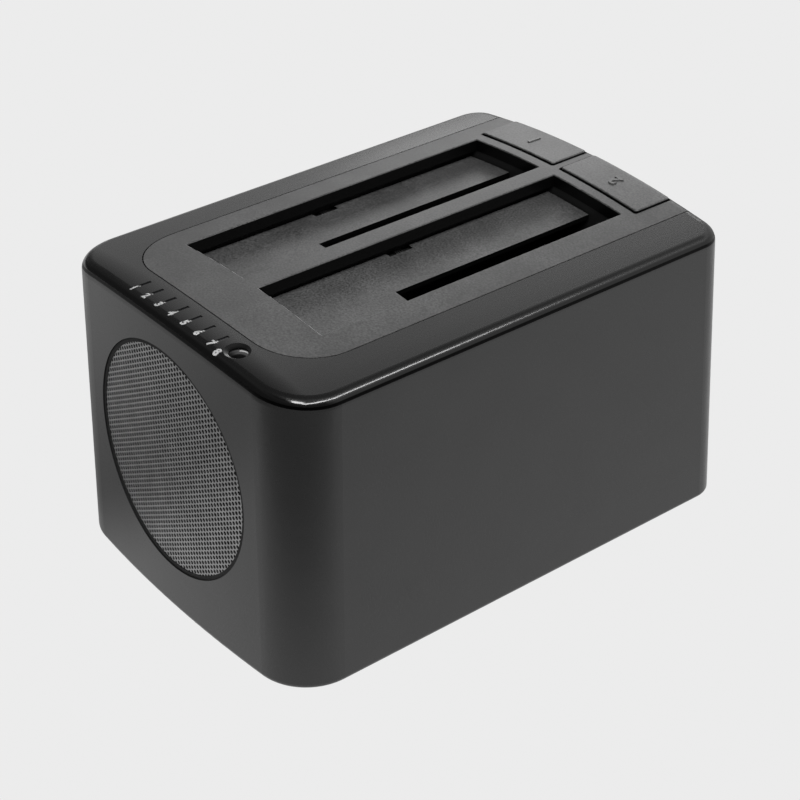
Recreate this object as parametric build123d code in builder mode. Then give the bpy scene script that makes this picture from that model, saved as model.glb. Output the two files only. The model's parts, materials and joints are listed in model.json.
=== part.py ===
from build123d import *
import math
import os

os.makedirs("parts", exist_ok=True)

# Overall body: X is across the front, -Y is the grille side, Z is up. Lengths are millimetres
TOTAL_HEIGHT = 93.7
FOOT_HEIGHT = 1.2
BASE_WIDTH = 110.0
TOP_WIDTH = 107.0
BASE_FRONT = 79.35
TOP_FRONT = 76.35
BASE_REAR = 79.35
TOP_REAR = 75.3
FRONT_BOW_RADIUS = 446.0
FRONT_CORNER = 16.5
REAR_CORNER = 8.0
CROWN_RADIUS = 320.0
RIM_ROUND = 3.5
BOTTOM_ROUND = 1.6
WALL = 2.2
COVER_SKIN = 2.2
REACH = 200.0

# Fits and small gaps
RUNNING_GAP = 0.05
PILOT_GAP = 0.03
LOOSE_GAP = 0.3
SEAM_GAP = 0.35
SEAT_GAP = 0.1

# Cover lip and bay insert
LIP_THICKNESS = 1.0
LIP_DROP = 2.4
INSERT_HALF_WIDTH = 40.1
INSERT_FRONT = 64.3
INSERT_CORNER = 17.5
INSERT_THICKNESS = 3.6
INSERT_FLANGE = 1.6
BAY_EDGE_ROUND = 0.35

# Drive bays, one on each side of the middle
BAY_PITCH = 34.4
BAY_WIDTH = 27.8
BAY_LENGTH = 103.5
BAY_CENTRE_Y = 4.05
SMALL_SLOT_WIDTH = 12.35
SMALL_SLOT_LENGTH = 70.2
WELL_STEP = 0.2
WELL_WALL = 1.2
WELL_FLOOR = 20.0
WELL_FLOOR_THICKNESS = 1.2
WELL_FLANGE = 6.0
WELL_FLANGE_THICKNESS = 1.6
WELL_SCREW_SPACING = 22.0

# Dust flaps
FLAP_DROP = 6.0
FLAP_THICKNESS = 1.4
FLAP_EDGE_GAP = 0.35
BARREL_RADIUS = 1.6
FLAP_PIN_RADIUS = 0.9
FLAP_PIN_INSET = 1.7
HINGE_POCKET = 3.6
FLAP_SPRING_WINDOW = 8.0
FLAP_SPRING_WIRE = 0.22
FLAP_SPRING_TURNS = 4
FLAP_SPRING_LEG = 3.0

# Eject keys, stems, springs and levers
KEY_CENTRE_X = 17.35
KEY_WIDTH = 31.3
KEY_FRONT = 59.9
KEY_REAR = 73.2
KEY_TOP_THICKNESS = 2.4
KEY_SKIRT = 6.5
KEY_SKIRT_WALL = 1.1
KEY_CORNER = 1.0
KEY_EDGE_ROUND = 0.4
KEY_PROUD = 0.5
KEY_GAP_FRONT = 0.7
KEY_GAP_REAR = 0.3
KEY_GAP_RIGHT = 0.6
KEY_GAP_LEFT = 0.6
STEM_OFFSET_X = -4.0
STEM_Y = 68.9
STEM_RADIUS = 2.0
SHELF_THICKNESS = 2.0
SHELF_HALF_WIDTH = 5.0
SHELF_REACH = 3.5
UPPER_SHELF_DROP = 21.7
LOWER_SHELF_TOP = 38.0
KEY_SPRING_RADIUS = 2.6
KEY_SPRING_WIRE = 0.3
KEY_SPRING_TURNS = 5
LEVER_WIDTH = 5.0
LEVER_SIDE_GAP = 0.3
LEVER_PIVOT_Y = 59.2
LEVER_PIVOT_Z = 23.5
LEVER_HUB_RADIUS = 2.4
LEVER_PIN_RADIUS = 1.0
LEVER_TAIL_RISE = 2.4
LEVER_TAIL_ROUND = 1.2
LEVER_BAR = 1.8
LEVER_TIP_Y = 47.4
LEVER_WINDOW_TOP = 27.2
LEVER_EAR = 1.5
LEVER_EAR_REACH = 3.0

# Base, feet and screws
BASE_THICKNESS = 2.2
FOOT_RADIUS = 6.0
FOOT_RECESS = 0.6
FOOT_INSET_X = 15.0
FOOT_INSET_Y = 19.75
BASE_SCREW_INSET_X = 7.5
BASE_SCREW_INSET_Y = 13.75
BASE_BOSS_RADIUS = 3.2
BASE_BOSS_HEIGHT = 16.0
SCREW_RADIUS = 1.25
SCREW_HEAD_RADIUS = 2.4
SCREW_HEAD_HEIGHT = 1.4
BASE_SCREW_LENGTH = 10.0
VENT_SLOT_LENGTH = 22.0
VENT_SLOT_WIDTH = 2.4
VENT_ROWS = 8
VENT_PITCH = 6.5

# Main board and what stands on it
BOARD_THICKNESS = 1.6
BOARD_BOTTOM = 12.0
BOARD_SIDE_GAP = 13.5
BOARD_FAN_GAP = 2.0
BOARD_REAR_GAP = 8.75
STANDOFF_INSET_X = 5.0
STANDOFF_INSET_Y = 8.0
STANDOFF_RADIUS = 2.8
BOARD_SCREW_LENGTH = 6.0
SOCKET_LENGTH = 42.0
SOCKET_WIDTH = 6.6
SOCKET_HEIGHT = 10.4
SOCKET_Y = 22.4
SOCKET_FROM_WALL = 5.6
SOCKET_SLOT_WIDTH = 2.4
SOCKET_DATA_SLOT = 11.0
SOCKET_POWER_SLOT = 21.0
SOCKET_SLOT_DEPTH = 6.0
CHIP_THICKNESS = 1.1
CHIP_SIZE = 12.0
CHIP_X = 12.0
CHIP_Y = -25.6
CHIP_STAGGER = 6.0
SMALL_CHIP_WIDTH = 6.0
SMALL_CHIP_LENGTH = 5.0
SMALL_CHIP_PLACES = ((0.0, 16.4), (-30.0, -7.6), (5.0, 48.4))
CAPACITOR_RADIUS = 3.2
CAPACITOR_HEIGHT = 10.5
CAPACITOR_COUNT = 3
SIDE_ROW_INSET = 4.3
SIDE_ROW_PITCH = 9.0
SIDE_ROW_START = 27.6
INDUCTOR_SIZE = 6.8
INDUCTOR_HEIGHT = 4.0

# Rear sockets and switch
PORT_X = -4.0
PORT_WIDTH = 12.1
PORT_HEIGHT = 11.2
PORT_LENGTH = 17.0
PORT_SHEET = 0.9
PORT_MOUTH_DEPTH = 9.0
PORT_TONGUE_WIDTH = 5.6
PORT_TONGUE_HEIGHT = 3.0
PORT_SETBACK = 0.4
JACK_X = 30.0
JACK_WIDTH = 9.0
JACK_HEIGHT = 11.0
JACK_LENGTH = 13.5
JACK_BORE_RADIUS = 3.1
JACK_BORE_DEPTH = 9.5
JACK_PIN_RADIUS = 1.0
PANEL_GAP = 0.3
SWITCH_X = -38.0
SWITCH_Z = 29.0
SWITCH_WIDTH = 13.0
SWITCH_HEIGHT = 19.6
SWITCH_FLANGE = 0.8
SWITCH_FLANGE_LIP = 1.4
SWITCH_DEPTH = 11.0
SWITCH_WALL = 0.9
ROCKER_HALF = 8.0
ROCKER_CROWN = 0.6
ROCKER_WAIST = 0.1
ROCKER_BACK = 3.2
ROCKER_PIVOT_DEPTH = 2.6
ROCKER_TILT = 8.0
ROCKER_CAVITY = 6.0
ROCKER_PIN_RADIUS = 0.8

# Grille, fan bracket and fan
GRILLE_TOP_MARGIN = 9.3
GRILLE_BOTTOM_MARGIN = 15.8
GRILLE_RIM_GAP = 0.25
GRILLE_INSET = 0.4
GRILLE_THICKNESS = 0.6
GRILLE_STEP = 1.3
GRILLE_HOLE = 2.6
GRILLE_PITCH = 4.0
GRILLE_EDGE = 1.6
BRACKET_SETBACK = 6.75
BRACKET_THICKNESS = 2.0
BRACKET_WIDTH = 75.0
BRACKET_HEIGHT = 62.0
BRACKET_CORNER = 6.0
BRACKET_SCREW_X = 33.8
BRACKET_SCREW_Z = 13.0
BRACKET_BOSS_RADIUS = 2.4
BRACKET_SCREW_LENGTH = 3.2
FAN_SIZE = 60.0
FAN_DEPTH = 15.0
FAN_CORNER = 3.5
FAN_BORE_RADIUS = 28.6
FAN_HOLE_SPACING = 50.0
FAN_HUB_RADIUS = 14.0
FAN_BLADE_RADIUS = 27.8
FAN_BLADES = 7
FAN_BLADE_THICKNESS = 1.2
FAN_BLADE_CHORD = 10.0
FAN_ROOT_PITCH = 48.0
FAN_TIP_PITCH = 30.0
FAN_HUB_DEPTH = 10.5
FAN_HUB_WALL = 1.2
FAN_MOTOR_PLATE = 2.0
FAN_SPOKE = 4.0
FAN_SHAFT_RADIUS = 1.5
FAN_BEARING_RADIUS = 3.5
FAN_BEARING_LENGTH = 7.0

# Front board, lights and clone button
LIGHT_ROW_Y = 69.1
LIGHT_PITCH = 6.05
LIGHT_COUNT = 7
LIGHT_WIDTH = 0.9
LIGHT_LENGTH = 3.7
LIGHT_RECESS = 0.3
LIGHT_BAR_RISE = 1.4
LIGHT_BAR_HEIGHT = 1.4
LIGHT_BAR_WIDTH = 1.2
LIGHT_FOOT_GAP = 0.3
LED_SIZE = 1.6
LED_HEIGHT = 0.7
FRONT_BOARD_DROP = 8.1
FRONT_BOARD_LEFT = -29.0
FRONT_BOARD_RIGHT = 37.0
FRONT_BOARD_NEAR = 72.0
FRONT_BOARD_FAR = 57.6
POST_LEFT = -25.5
POST_RIGHT = 33.5
POST_Y = 69.4
POST_RADIUS = 2.2
POST_SCREW_LENGTH = 5.0
BUTTON_X = 25.2
BUTTON_RADIUS = 2.5
BUTTON_HOLE_GAP = 0.1
BUTTON_FLANGE_RADIUS = 3.0
BUTTON_FLANGE_THICKNESS = 0.8
BUTTON_STEM_RADIUS = 1.4
BUTTON_TRAVEL = 0.7
BUTTON_STAND = 0.1
BUTTON_DOME = 0.5
DISH_RADIUS = 3.5
DISH_DEPTH = 0.9
PLUNGER_RADIUS = 1.4
PLUNGER_HEIGHT = 1.9
SWITCH_CELL_SIZE = 6.0
SWITCH_CELL_HEIGHT = 2.0

# Places worked out from the sizes above
BODY_HEIGHT = TOTAL_HEIGHT - FOOT_HEIGHT
REAR_LEAN = (BASE_REAR - TOP_REAR) / BODY_HEIGHT
BOARD_TOP = BOARD_BOTTOM + BOARD_THICKNESS
BASE_TOP = FOOT_HEIGHT + BASE_THICKNESS
UPPER_SHELF_TOP = TOTAL_HEIGHT - UPPER_SHELF_DROP
GRILLE_RADIUS = (TOTAL_HEIGHT - GRILLE_TOP_MARGIN - GRILLE_BOTTOM_MARGIN) / 2
GRILLE_CENTRE_Z = GRILLE_BOTTOM_MARGIN + GRILLE_RADIUS
BRACKET_FRONT = BASE_FRONT - BRACKET_SETBACK
BAY_FRONT = BAY_CENTRE_Y - BAY_LENGTH / 2
BAY_REAR = BAY_CENTRE_Y + BAY_LENGTH / 2
WELL_FRONT = BAY_FRONT - WELL_STEP - WELL_WALL
WELL_REAR = BAY_REAR + WELL_STEP + WELL_WALL
FRONT_BOARD_TOP = TOTAL_HEIGHT - FRONT_BOARD_DROP
FRONT_BOARD_BOTTOM = FRONT_BOARD_TOP - BOARD_THICKNESS
LIGHT_BAR_BOTTOM = FRONT_BOARD_TOP + LIGHT_BAR_RISE
FAN_FRONT = BRACKET_FRONT - BRACKET_THICKNESS
FAN_REAR = FAN_FRONT - FAN_DEPTH
BOARD_HALF_WIDTH = BASE_WIDTH / 2 - BOARD_SIDE_GAP
BOARD_FRONT = FAN_REAR - BOARD_FAN_GAP
BOARD_REAR = BASE_REAR - BOARD_REAR_GAP
SIDE_ROW_X = BOARD_HALF_WIDTH - SIDE_ROW_INSET
LIGHT_ROW_START = -(LIGHT_COUNT - 1) / 2 * LIGHT_PITCH
LIGHT_PLACES = [(LIGHT_ROW_START + index * LIGHT_PITCH, -LIGHT_ROW_Y) for index in range(LIGHT_COUNT)]
SIGNS = ((-1, -1), (-1, 1), (1, -1), (1, 1))
FEET = [(x * (BASE_WIDTH / 2 - FOOT_INSET_X), y * (BASE_REAR - FOOT_INSET_Y)) for x, y in SIGNS]
BASE_SCREWS = [
    (x * (BASE_WIDTH / 2 - BASE_SCREW_INSET_X), y * (BASE_REAR - BASE_SCREW_INSET_Y)) for x, y in SIGNS
]
STANDOFFS = [
    (x * (BOARD_HALF_WIDTH - STANDOFF_INSET_X), y * (BOARD_FRONT - STANDOFF_INSET_Y)) for x, y in SIGNS
]
BRACKET_SCREWS = [(x * BRACKET_SCREW_X, GRILLE_CENTRE_Z + z * BRACKET_SCREW_Z) for x, z in SIGNS]
FAN_HOLES = [(x * FAN_HOLE_SPACING / 2, GRILLE_CENTRE_Z + z * FAN_HOLE_SPACING / 2) for x, z in SIGNS]


def crown_height(x, drop=0.0):
    """Height of the crowned top at x, lowered by drop."""
    return TOTAL_HEIGHT - CROWN_RADIUS + math.sqrt((CROWN_RADIUS - drop) ** 2 - x**2)


def rear_face(z):
    """Y of the leaning rear wall's outside at height z."""
    return BASE_REAR - REAR_LEAN * (z - FOOT_HEIGHT)


def uprights(part, place):
    """Upright edges of a body form, at the front (0) or the rear (-1)."""
    standing = part.edges().filter_by(lambda edge: abs((edge % 0.5).Z) > 0.5)
    return standing.group_by(Axis.Y)[place]


def body_form(inset):
    """Leaning body with a bowed front, from the bottom edge to the crown, its walls moved in by inset."""
    sections = (
        (FOOT_HEIGHT, BASE_WIDTH, BASE_FRONT, BASE_REAR),
        (TOTAL_HEIGHT, TOP_WIDTH, TOP_FRONT, TOP_REAR),
    )
    with BuildPart() as form:
        for height, width, front, rear in sections:
            half = width / 2 - inset
            bow = FRONT_BOW_RADIUS - inset
            side_y = inset - front + bow - math.sqrt(bow**2 - half**2)
            with BuildSketch(Plane.XY.offset(height)):
                with BuildLine():
                    Line((half, rear - inset), (-half, rear - inset))
                    Line((-half, rear - inset), (-half, side_y))
                    ThreePointArc((-half, side_y), (0, inset - front), (half, side_y))
                    Line((half, side_y), (half, rear - inset))
                make_face()
        loft(ruled=True)
        fillet(uprights(form, 0), FRONT_CORNER - inset)
        fillet(uprights(form, -1), REAR_CORNER - inset)
    return form.part


def under_crown(drop):
    """Everything below the crowned top lowered by drop."""
    with BuildPart() as under:
        with BuildSketch(Plane.XZ.offset(-REACH)):
            with Locations((0, TOTAL_HEIGHT - CROWN_RADIUS)):
                Circle(CROWN_RADIUS - drop)
        extrude(amount=2 * REACH)
    return under.part


def block(x_limits, y_limits, z_limits, corner=0.0):
    """Upright block between pairs of limits, with its upright edges rounded."""
    with BuildPart() as solid:
        with BuildSketch(Plane.XY.offset(z_limits[0])) as outline:
            with Locations((sum(x_limits) / 2, sum(y_limits) / 2)):
                Rectangle(x_limits[1] - x_limits[0], y_limits[1] - y_limits[0])
            if corner > 0:
                fillet(outline.vertices(), corner)
        extrude(amount=z_limits[1] - z_limits[0])
    return solid.part


def insert_prism(extra, low):
    """Upright prism of the U-shaped insert outline grown by extra, from low up past the crown."""
    half = INSERT_HALF_WIDTH + extra
    bow = FRONT_BOW_RADIUS
    side_y = bow - math.sqrt(bow**2 - half**2) - INSERT_FRONT - extra
    with BuildPart() as prism:
        with BuildSketch(Plane.XY.offset(low)) as outline:
            with BuildLine():
                Line((half, BASE_REAR), (-half, BASE_REAR))
                Line((-half, BASE_REAR), (-half, side_y))
                ThreePointArc((-half, side_y), (0, -INSERT_FRONT - extra), (half, side_y))
                Line((half, side_y), (half, BASE_REAR))
            make_face()
            fillet(outline.vertices().group_by(Axis.Y)[0:-1], INSERT_CORNER + extra)
        extrude(amount=TOTAL_HEIGHT - low + 1)
    return prism.part


def along_y(radius, x, z, y_low, y_high):
    """Round bar lying along Y."""
    with BuildPart() as bar:
        with BuildSketch(Plane.XZ.offset(-y_high)):
            with Locations((x, z)):
                Circle(radius)
        extrude(amount=y_high - y_low)
    return bar.part


def screws(places, plane, length, head=SCREW_HEAD_RADIUS, shank=SCREW_RADIUS):
    """Pan head screws at places on a plane, heads standing on it and shanks going in."""
    with BuildPart() as group:
        with BuildSketch(plane):
            with Locations(*places):
                Circle(shank)
        extrude(amount=-length)
        with BuildSketch(plane):
            with Locations(*places):
                Circle(head)
        extrude(amount=SCREW_HEAD_HEIGHT)
        rims = group.edges().filter_by(GeomType.CIRCLE).filter_by(lambda edge: edge.radius == head)
        far = plane.offset(SCREW_HEAD_HEIGHT)
        chamfer(rims.filter_by(lambda edge: abs(far.to_local_coords(edge.arc_center).Z) < 0.01), 0.5)
        with BuildSketch(far):
            with Locations(*places):
                Rectangle(0.5, head)
                Rectangle(head, 0.5)
        extrude(amount=-SCREW_HEAD_HEIGHT / 2, mode=Mode.SUBTRACT)
    return group


# Outside of the whole body, with its rounded rim and bottom edge
with BuildPart() as outer_body:
    add(body_form(0))
    add(under_crown(0), mode=Mode.INTERSECT)
    fillet(outer_body.faces().sort_by(Axis.Z)[-1].edges(), RIM_ROUND)
    fillet(outer_body.faces().sort_by(Axis.Z)[0].edges(), BOTTOM_ROUND)

# Main shell: four walls, with bosses for the base and the fan bracket and openings for the sockets
port_high = BOARD_TOP + PORT_HEIGHT
jack_high = BOARD_TOP + JACK_HEIGHT
switch_plane = Plane(
    origin=(SWITCH_X, rear_face(SWITCH_Z), SWITCH_Z), x_dir=(-1, 0, 0), z_dir=(0, 1, REAR_LEAN)
)
with BuildPart() as main_shell:
    add(outer_body.part)
    add(under_crown(COVER_SKIN), mode=Mode.INTERSECT)
    add(body_form(WALL), mode=Mode.SUBTRACT)
    for x, y in BASE_SCREWS:
        with BuildSketch(Plane.XY.offset(BASE_TOP)):
            with Locations((x, y)):
                Circle(BASE_BOSS_RADIUS)
            with Locations((x + math.copysign(BASE_BOSS_RADIUS, x), y)):
                Rectangle(2 * BASE_BOSS_RADIUS, WALL)
        extrude(amount=BASE_BOSS_HEIGHT)
    with BuildSketch(Plane.XZ.offset(BRACKET_FRONT)):
        with Locations(*BRACKET_SCREWS):
            Circle(BRACKET_BOSS_RADIUS)
    extrude(amount=BASE_FRONT - BRACKET_FRONT)
    add(outer_body.part, mode=Mode.INTERSECT)
    with BuildSketch(Plane.XY.offset(BASE_TOP)):
        with Locations(*BASE_SCREWS):
            Circle(SCREW_RADIUS + PILOT_GAP)
    extrude(amount=BASE_SCREW_LENGTH + SEAT_GAP, mode=Mode.SUBTRACT)
    with BuildSketch(Plane.XZ.offset(BRACKET_FRONT)):
        with Locations(*BRACKET_SCREWS):
            Circle(SCREW_RADIUS + PILOT_GAP)
    extrude(amount=BRACKET_SCREW_LENGTH - BRACKET_THICKNESS + SEAT_GAP, mode=Mode.SUBTRACT)
    add(
        along_y(GRILLE_RADIUS - GRILLE_STEP, 0, GRILLE_CENTRE_Z, -BASE_FRONT - 1, -BRACKET_FRONT),
        mode=Mode.SUBTRACT,
    )
    with BuildSketch(Plane.XZ.offset(-BASE_REAR - 1)):
        with Locations((PORT_X, BOARD_TOP + PORT_HEIGHT / 2)):
            Rectangle(PORT_WIDTH + 2 * PANEL_GAP, PORT_HEIGHT + 2 * PANEL_GAP)
        with Locations((JACK_X, BOARD_TOP + JACK_HEIGHT / 2)):
            Rectangle(JACK_WIDTH + 2 * PANEL_GAP, JACK_HEIGHT + 2 * PANEL_GAP)
    extrude(amount=BASE_REAR + 1 - STEM_Y, mode=Mode.SUBTRACT)
    with BuildSketch(switch_plane.offset(1)):
        Rectangle(SWITCH_WIDTH + 2 * SEAT_GAP, SWITCH_HEIGHT + 2 * SEAT_GAP)
    extrude(amount=-2 * WALL - 1, mode=Mode.SUBTRACT)

# Seat for the grille: a shallow round step in the outside of the front wall
with BuildPart() as grille_seat:
    add(along_y(GRILLE_RADIUS, 0, GRILLE_CENTRE_Z, -BASE_FRONT - 1, 0))
    add(body_form(GRILLE_INSET + GRILLE_THICKNESS), mode=Mode.SUBTRACT)
with BuildPart() as shell_with_seat:
    add(main_shell.part)
    add(grille_seat.part, mode=Mode.SUBTRACT)

# Front grille: perforated sheet that follows the bowed wall
with BuildPart() as front_grille:
    add(body_form(GRILLE_INSET))
    add(body_form(GRILLE_INSET + GRILLE_THICKNESS), mode=Mode.SUBTRACT)
    add(
        along_y(GRILLE_RADIUS - GRILLE_RIM_GAP, 0, GRILLE_CENTRE_Z, -BASE_FRONT - 1, 0),
        mode=Mode.INTERSECT,
    )
    hole_field = GRILLE_RADIUS - GRILLE_STEP - GRILLE_EDGE - GRILLE_HOLE / 2
    rows = int(hole_field / GRILLE_PITCH)
    hole_places = [
        (column * GRILLE_PITCH, GRILLE_CENTRE_Z + row * GRILLE_PITCH)
        for row in range(-rows, rows + 1)
        for column in range(-rows, rows + 1)
        if math.hypot(column, row) * GRILLE_PITCH <= hole_field
    ]
    with BuildSketch(Plane.XZ.offset(BRACKET_FRONT)):
        with Locations(*hole_places):
            Rectangle(GRILLE_HOLE, GRILLE_HOLE)
    extrude(amount=BASE_FRONT - BRACKET_FRONT, mode=Mode.SUBTRACT)

# Top cover: crowned skin with a locating lip, board posts, light slots and the dished button hole
with BuildPart() as cover_lip:
    add(body_form(WALL + LOOSE_GAP))
    add(body_form(WALL + LOOSE_GAP + LIP_THICKNESS), mode=Mode.SUBTRACT)
    for x in (POST_LEFT, POST_RIGHT):
        with BuildSketch(Plane.XY.offset(FRONT_BOARD_TOP)):
            with Locations((x, -POST_Y)):
                Circle(POST_RADIUS)
        extrude(amount=TOTAL_HEIGHT - FRONT_BOARD_TOP)
    add(under_crown(COVER_SKIN / 2), mode=Mode.INTERSECT)
    lip_low = under_crown(COVER_SKIN + LIP_DROP)
with BuildPart() as lip_floor:
    add(lip_low)
    for x in (POST_LEFT, POST_RIGHT):
        with BuildSketch(Plane.XY.offset(FRONT_BOARD_TOP)):
            with Locations((x, -POST_Y)):
                Circle(POST_RADIUS)
        extrude(amount=TOTAL_HEIGHT - FRONT_BOARD_TOP, mode=Mode.SUBTRACT)
with BuildPart() as top_cover:
    add(cover_lip.part)
    add(lip_floor.part, mode=Mode.SUBTRACT)
    add(insert_prism(INSERT_FLANGE + LOOSE_GAP, FRONT_BOARD_BOTTOM), mode=Mode.SUBTRACT)
    add(outer_body.part.cut(under_crown(COVER_SKIN), insert_prism(SEAM_GAP, FRONT_BOARD_BOTTOM)))
    with BuildSketch(Plane.XY.offset(FRONT_BOARD_TOP)):
        with Locations((POST_LEFT, -POST_Y), (POST_RIGHT, -POST_Y)):
            Circle(SCREW_RADIUS + PILOT_GAP)
    extrude(amount=POST_SCREW_LENGTH - BOARD_THICKNESS + SEAT_GAP, mode=Mode.SUBTRACT)
    with BuildSketch(Plane.XY.offset(LIGHT_BAR_BOTTOM)):
        with Locations(*LIGHT_PLACES):
            Rectangle(LIGHT_WIDTH + 2 * RUNNING_GAP, LIGHT_LENGTH + 2 * RUNNING_GAP)
        with Locations((BUTTON_X, -LIGHT_ROW_Y)):
            Circle(BUTTON_RADIUS + BUTTON_HOLE_GAP)
    extrude(amount=TOTAL_HEIGHT - LIGHT_BAR_BOTTOM, mode=Mode.SUBTRACT)
    dish_sphere = (DISH_RADIUS**2 + DISH_DEPTH**2) / (2 * DISH_DEPTH)
    with Locations((BUTTON_X, -LIGHT_ROW_Y, crown_height(BUTTON_X) - DISH_DEPTH + dish_sphere)):
        Sphere(dish_sphere, mode=Mode.SUBTRACT)

# Bay insert: flush plate over the cover's opening, a flange under it, and the bay and key openings
with BuildPart() as insert_flange:
    add(insert_prism(INSERT_FLANGE, FRONT_BOARD_BOTTOM))
    add(body_form(WALL + LOOSE_GAP), mode=Mode.INTERSECT)
    add(under_crown(COVER_SKIN), mode=Mode.INTERSECT)
with BuildPart() as bay_insert:
    add(insert_prism(0, FRONT_BOARD_BOTTOM))
    add(outer_body.part, mode=Mode.INTERSECT)
    add(under_crown(COVER_SKIN), mode=Mode.SUBTRACT)
    add(insert_flange.part)
    add(under_crown(INSERT_THICKNESS), mode=Mode.SUBTRACT)
    for side in (-1, 1):
        bay_x = side * BAY_PITCH / 2
        key_x = side * KEY_CENTRE_X
        high = (FRONT_BOARD_BOTTOM, TOTAL_HEIGHT + 1)
        bay_hole = (bay_x - BAY_WIDTH / 2, bay_x + BAY_WIDTH / 2)
        add(block(bay_hole, (BAY_FRONT, BAY_REAR), high), mode=Mode.SUBTRACT)
        key_hole = (key_x - KEY_WIDTH / 2 - KEY_GAP_LEFT, key_x + KEY_WIDTH / 2 + KEY_GAP_RIGHT)
        key_depth = (KEY_FRONT - KEY_GAP_FRONT, KEY_REAR + KEY_GAP_REAR)
        add(block(key_hole, key_depth, high, KEY_CORNER), mode=Mode.SUBTRACT)
    crown_face = bay_insert.faces().sort_by(Axis.Z)[-1]
    fillet([edge for wire in crown_face.inner_wires() for edge in wire.edges()], BAY_EDGE_ROUND)
    for side in (-1, 1):
        for across in (-1, 1):
            x = side * BAY_PITCH / 2 + across * WELL_SCREW_SPACING / 2
            with BuildSketch(Plane.XY.offset(FRONT_BOARD_BOTTOM)):
                with Locations((x, WELL_FRONT - WELL_FLANGE / 2)):
                    Circle(SCREW_RADIUS + PILOT_GAP)
            extrude(amount=crown_height(x) - 1 - FRONT_BOARD_BOTTOM, mode=Mode.SUBTRACT)

# Base plate with vent slots, foot recesses, screw holes and standoffs for the main board
with BuildPart() as base_plate:
    add(body_form(WALL + LOOSE_GAP))
    add(block((-REACH, REACH), (-REACH, REACH), (BASE_TOP, REACH)), mode=Mode.SUBTRACT)
    with BuildSketch(Plane.XY.offset(BASE_TOP)):
        with Locations(*STANDOFFS):
            Circle(STANDOFF_RADIUS)
    extrude(amount=BOARD_BOTTOM - BASE_TOP)
    with BuildSketch(Plane.XY.offset(BOARD_BOTTOM)):
        with Locations(*STANDOFFS):
            Circle(SCREW_RADIUS + PILOT_GAP)
    extrude(amount=-(BOARD_SCREW_LENGTH - BOARD_THICKNESS + SEAT_GAP), mode=Mode.SUBTRACT)
    with BuildSketch(Plane.XY.offset(FOOT_HEIGHT)):
        with Locations(*FEET):
            Circle(FOOT_RADIUS + SEAT_GAP)
    extrude(amount=FOOT_RECESS, mode=Mode.SUBTRACT)
    with BuildSketch(Plane.XY.offset(FOOT_HEIGHT)):
        with Locations(*BASE_SCREWS):
            Circle(SCREW_HEAD_RADIUS + SEAT_GAP)
    extrude(amount=SCREW_HEAD_HEIGHT, mode=Mode.SUBTRACT)
    with BuildSketch(Plane.XY.offset(FOOT_HEIGHT)):
        with Locations(*BASE_SCREWS):
            Circle(SCREW_RADIUS + SEAT_GAP)
        with GridLocations(VENT_SLOT_LENGTH + 4 * VENT_SLOT_WIDTH, VENT_PITCH, 2, VENT_ROWS):
            SlotOverall(VENT_SLOT_LENGTH, VENT_SLOT_WIDTH)
    extrude(amount=BASE_THICKNESS, mode=Mode.SUBTRACT)

with BuildPart() as rubber_feet:
    with BuildSketch():
        with Locations(*FEET):
            Circle(FOOT_RADIUS)
    extrude(amount=FOOT_HEIGHT + FOOT_RECESS)
    chamfer(rubber_feet.edges().group_by(Axis.Z)[0], FOOT_RECESS)

base_screw_plane = Plane(origin=(0, 0, FOOT_HEIGHT + SCREW_HEAD_HEIGHT), x_dir=(1, 0, 0), z_dir=(0, 0, -1))
base_screws = screws([(x, -y) for x, y in BASE_SCREWS], base_screw_plane, BASE_SCREW_LENGTH)

# Main board and its chips, capacitors and inductors
with BuildPart() as main_board:
    with BuildSketch(Plane.XY.offset(BOARD_BOTTOM)):
        with Locations((0, (BOARD_REAR - BOARD_FRONT) / 2)):
            Rectangle(2 * BOARD_HALF_WIDTH, BOARD_REAR + BOARD_FRONT)
        with Locations(*STANDOFFS):
            Circle(SCREW_RADIUS + SEAT_GAP, mode=Mode.SUBTRACT)
    extrude(amount=BOARD_THICKNESS)

board_screws = screws(STANDOFFS, Plane.XY.offset(BOARD_TOP), BOARD_SCREW_LENGTH)

with BuildPart() as control_chips:
    with BuildSketch(Plane.XY.offset(BOARD_TOP)):
        with Locations((-CHIP_X, CHIP_Y + CHIP_STAGGER), (CHIP_X, CHIP_Y - CHIP_STAGGER)):
            Rectangle(CHIP_SIZE, CHIP_SIZE)
        with Locations(*SMALL_CHIP_PLACES):
            Rectangle(SMALL_CHIP_WIDTH, SMALL_CHIP_LENGTH)
    extrude(amount=CHIP_THICKNESS)

with BuildPart() as capacitors:
    with BuildSketch(Plane.XY.offset(BOARD_TOP)):
        for index in range(CAPACITOR_COUNT):
            with Locations((SIDE_ROW_X, index * SIDE_ROW_PITCH - SIDE_ROW_START)):
                Circle(CAPACITOR_RADIUS)
    extrude(amount=CAPACITOR_HEIGHT)
    chamfer(capacitors.edges().group_by(Axis.Z)[-1], 0.4)

with BuildPart() as inductors:
    with BuildSketch(Plane.XY.offset(BOARD_TOP)):
        for index in range(2):
            with Locations((SIDE_ROW_X, (index + CAPACITOR_COUNT) * SIDE_ROW_PITCH - SIDE_ROW_START)):
                RectangleRounded(INDUCTOR_SIZE, INDUCTOR_SIZE, 1.5)
    extrude(amount=INDUCTOR_HEIGHT)

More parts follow.
